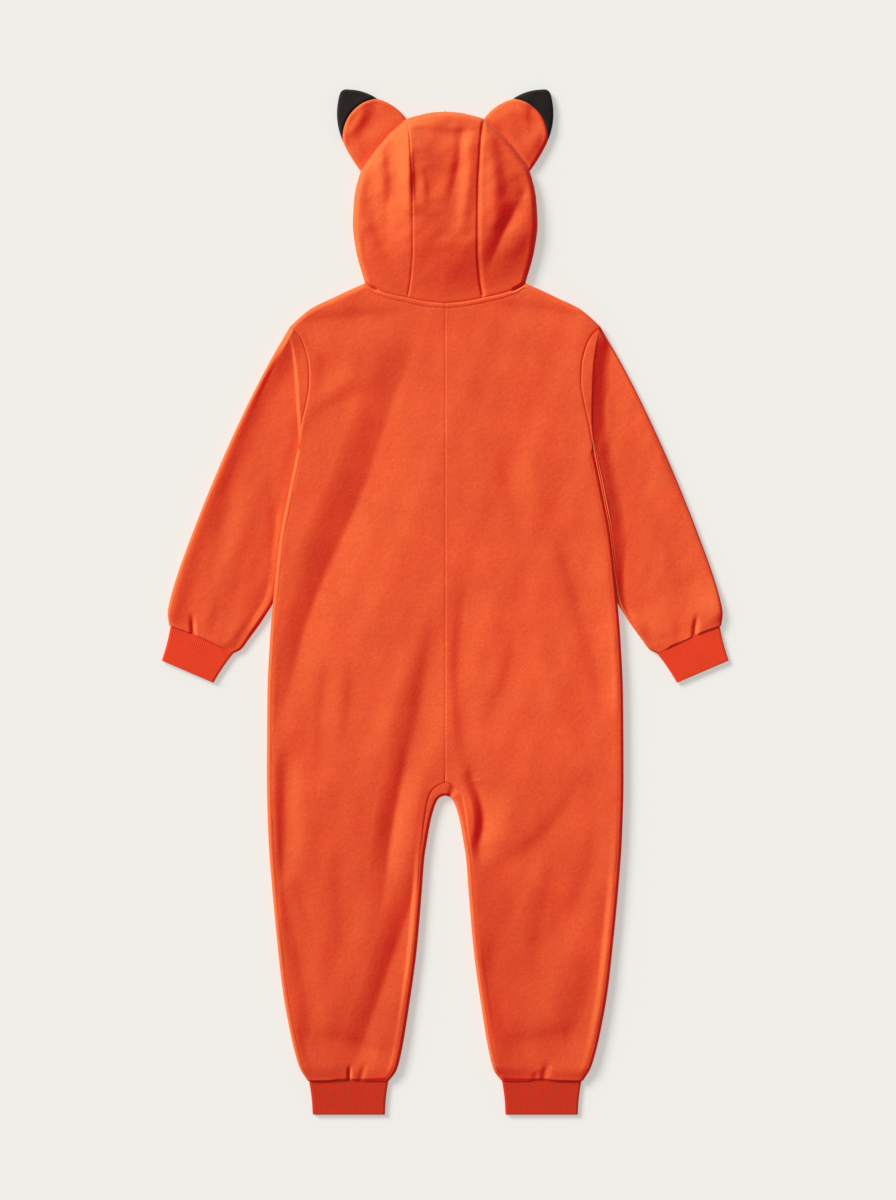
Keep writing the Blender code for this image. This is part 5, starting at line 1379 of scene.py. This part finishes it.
tapes = [zip_tape(side) for side in SIDES]
tooth_y = np.arange(TAPE_FROM + 9 * MM, 282 * MM, TOOTH_PITCH)
outline = TOOTH[:, ::-1]
on_middle = np.column_stack([np.zeros_like(tooth_y), tooth_y])[:, None]
teeth = np.concatenate([outline * (side, -side) + (on_middle + (0, shift))
                        for side, shift in ((1, 0), (-1, TOOTH_PITCH / 2))])
zip_teeth = blocks("zip_teeth", teeth, 1.9 * MM, TAPE_LOW, TAPE_CLOTH)
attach(zip_teeth, "suit")
for node in ("zip_slider", "zip_pull"):
    solid = bpy.data.objects[node]
    solid.data.materials.clear()
    solid.data.materials.append(STEEL)
print(len(teeth), "zip teeth of", len(zip_teeth.data.polygons) // len(teeth), "faces")

# %% [markdown]
# ## Stitches
#
# The neck seam is sewn down with a row of lockstitch. Each stitch is a small bead a little longer
# than its thread is thick, sunk into the fleece at both ends.

# %% Stitches
STITCH_LONG = 2.5 * MM
THREAD_WIDE = 0.42 * MM


def stitch_row(name, path, up):
    """A row of beads: path is plan points at the stitches' middles, up their heights."""
    ahead = np.gradient(path, axis=0)
    ahead /= np.linalg.norm(ahead, axis=1, keepdims=True)
    across = np.column_stack([-ahead[:, 1], ahead[:, 0]])
    turn = np.linspace(0, 2 * math.pi, 7)[:-1]
    stations = np.array((-1, -0.72, 0, 0.72, 1.0)) * STITCH_LONG / 2
    girth = np.array((0.15, 0.85, 1.0, 0.85, 0.15)) * THREAD_WIDE
    sink = np.array((-0.55, -0.1, 0.12, -0.1, -0.55)) * MM
    centre = path[:, None, None] + ahead[:, None, None] * stations[:, None, None]
    plan = centre + across[:, None, None] * (girth[:, None] * np.cos(turn))[..., None]
    z = up[:, None, None] + sink[:, None] + girth[:, None] * np.sin(turn)
    points = np.concatenate([plan, z[..., None]], axis=-1).reshape(-1, 3)
    ring, step = np.meshgrid(np.arange(6), np.arange(4))
    ring, step = ring.ravel(), step.ravel()
    after = (ring + 1) % 6
    side = np.column_stack([step * 6 + ring, step * 6 + after, step * 6 + 6 + after,
                            step * 6 + 6 + ring])
    caps = np.array([(0, 3, 2, 1), (0, 5, 4, 3), (24, 25, 26, 27), (24, 27, 28, 29)])
    one = np.concatenate([side[:, ::-1], caps[:, ::-1]])
    faces = (np.arange(len(path)) * 30)[:, None, None] + one[None]
    made = mesh_piece(name, points, faces.reshape(-1, 4), THREAD)
    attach(made, "suit")
    return made


half_neck = resampled(NECK_FINE, np.linspace(0, 0.9, 27))
neck_path = np.concatenate([half_neck[:0:-1] * (-1, 1), half_neck]) - np.array((0, STITCH_LINE))
surface = LAY - 0.05 * MM + fold_height(BODY_FOLDS, neck_path[:, 0], neck_path[:, 1])
neck_stitches = stitch_row("neck_stitches", neck_path, surface)
print(len(neck_path), "stitches")

# %% [markdown]
# ## Floor and light
#
# A copy stand has a pale sheet of paper, lit a little from below, and a large soft lamp up to one
# side. A sun lamp with a wide angle gives the same light on the whole suit and a soft shadow a
# centimetre wide, and a pale sky fills the shadows.

# %% Floor and light
PAPER_LOW, PAPER_HALF = -0.0003, 4
PAPER_COLOUR, PAPER_GLOW = (0.45, 0.447, 0.425, 1), (0.417, 0.412, 0.388, 1)
LAMP_POWER, LAMP_SPREAD, LAMP_FROM = 3.45, 24, (0.62, -0.52, -0.59)
SKY_STRENGTH = 0.34
floor_mesh = bpy.data.meshes.new("paper")
floor_mesh.from_pydata([(x * PAPER_HALF, y * PAPER_HALF, PAPER_LOW)
                        for x, y in ((-1, -1), (1, -1), (1, 1), (-1, 1))], [], [(0, 1, 2, 3)])
floor = bpy.data.objects.new("paper", floor_mesh)
bpy.context.scene.collection.objects.link(floor)
paper = bpy.data.materials.new("pale_paper")
paper.use_nodes = True
paper_shader = paper.node_tree.nodes["Principled BSDF"]
paper_shader.inputs["Base Color"].default_value = PAPER_COLOUR
paper_shader.inputs["Emission Color"].default_value = PAPER_GLOW
paper_shader.inputs["Emission Strength"].default_value = 1.0
paper_shader.inputs["Roughness"].default_value = 0.9
floor_mesh.materials.append(paper)

lamp = bpy.data.lights.new("big_lamp", "SUN")
lamp.energy = LAMP_POWER
lamp.angle = math.radians(LAMP_SPREAD)
lamp.color = (1.0, 0.985, 0.96)
lamp_object = bpy.data.objects.new("big_lamp", lamp)
lamp_object.rotation_mode = "QUATERNION"
lamp_object.rotation_quaternion = Vector(LAMP_FROM).to_track_quat("-Z", "Y")
bpy.context.scene.collection.objects.link(lamp_object)
sky = bpy.data.worlds.new("studio")
sky.use_nodes = True
sky.node_tree.nodes["Background"].inputs["Color"].default_value = (0.95, 0.97, 1.0, 1)
sky.node_tree.nodes["Background"].inputs["Strength"].default_value = SKY_STRENGTH
bpy.context.scene.world = sky
bpy.context.scene.view_settings.view_transform = "Standard"
print("floor and lamp placed")

# %% [markdown]
# ## What each piece was cut from
#
# Each panel's cut rectangle is printed beside the area measured on the modelled panel itself,
# so the area follows the model and can't confirm it.
# Three rectangles are known to be wrong: unrolled, a modelled sleeve is 0.24 x 0.385 m, the middle
# of the hood 0.12 x 0.26 m, and the round part of an ear 0.086 x 0.052 m.

# %% Cuts
def cut(piece, width, length):
    """Print the size of the rectangle a piece was cut from, and the area of its modelled panel."""
    print(piece.name, "cut from", width, "x", length, "m, modelled area", round(piece["area"], 4))


for side in SIDES:
    cut(backs[side], 0.215, 0.925)
    cut(fronts[side], 0.235, 0.925)
    cut(sleeves[side], 0.34, 0.42)
    cut(hood_sides[side], 0.20, 0.27)
cut(hood_middle, 0.10, 0.31)
for piece in cuffs:
    wrist = "wrist" in piece.name
    cut(piece, 0.15 if wrist else 0.185, 0.045 if wrist else 0.042)
for piece in ears:
    tip = "tip" in piece.name
    cut(piece, 0.045 if tip else 0.075, 0.075)
for piece in tapes:
    cut(piece, 0.015, 0.45)
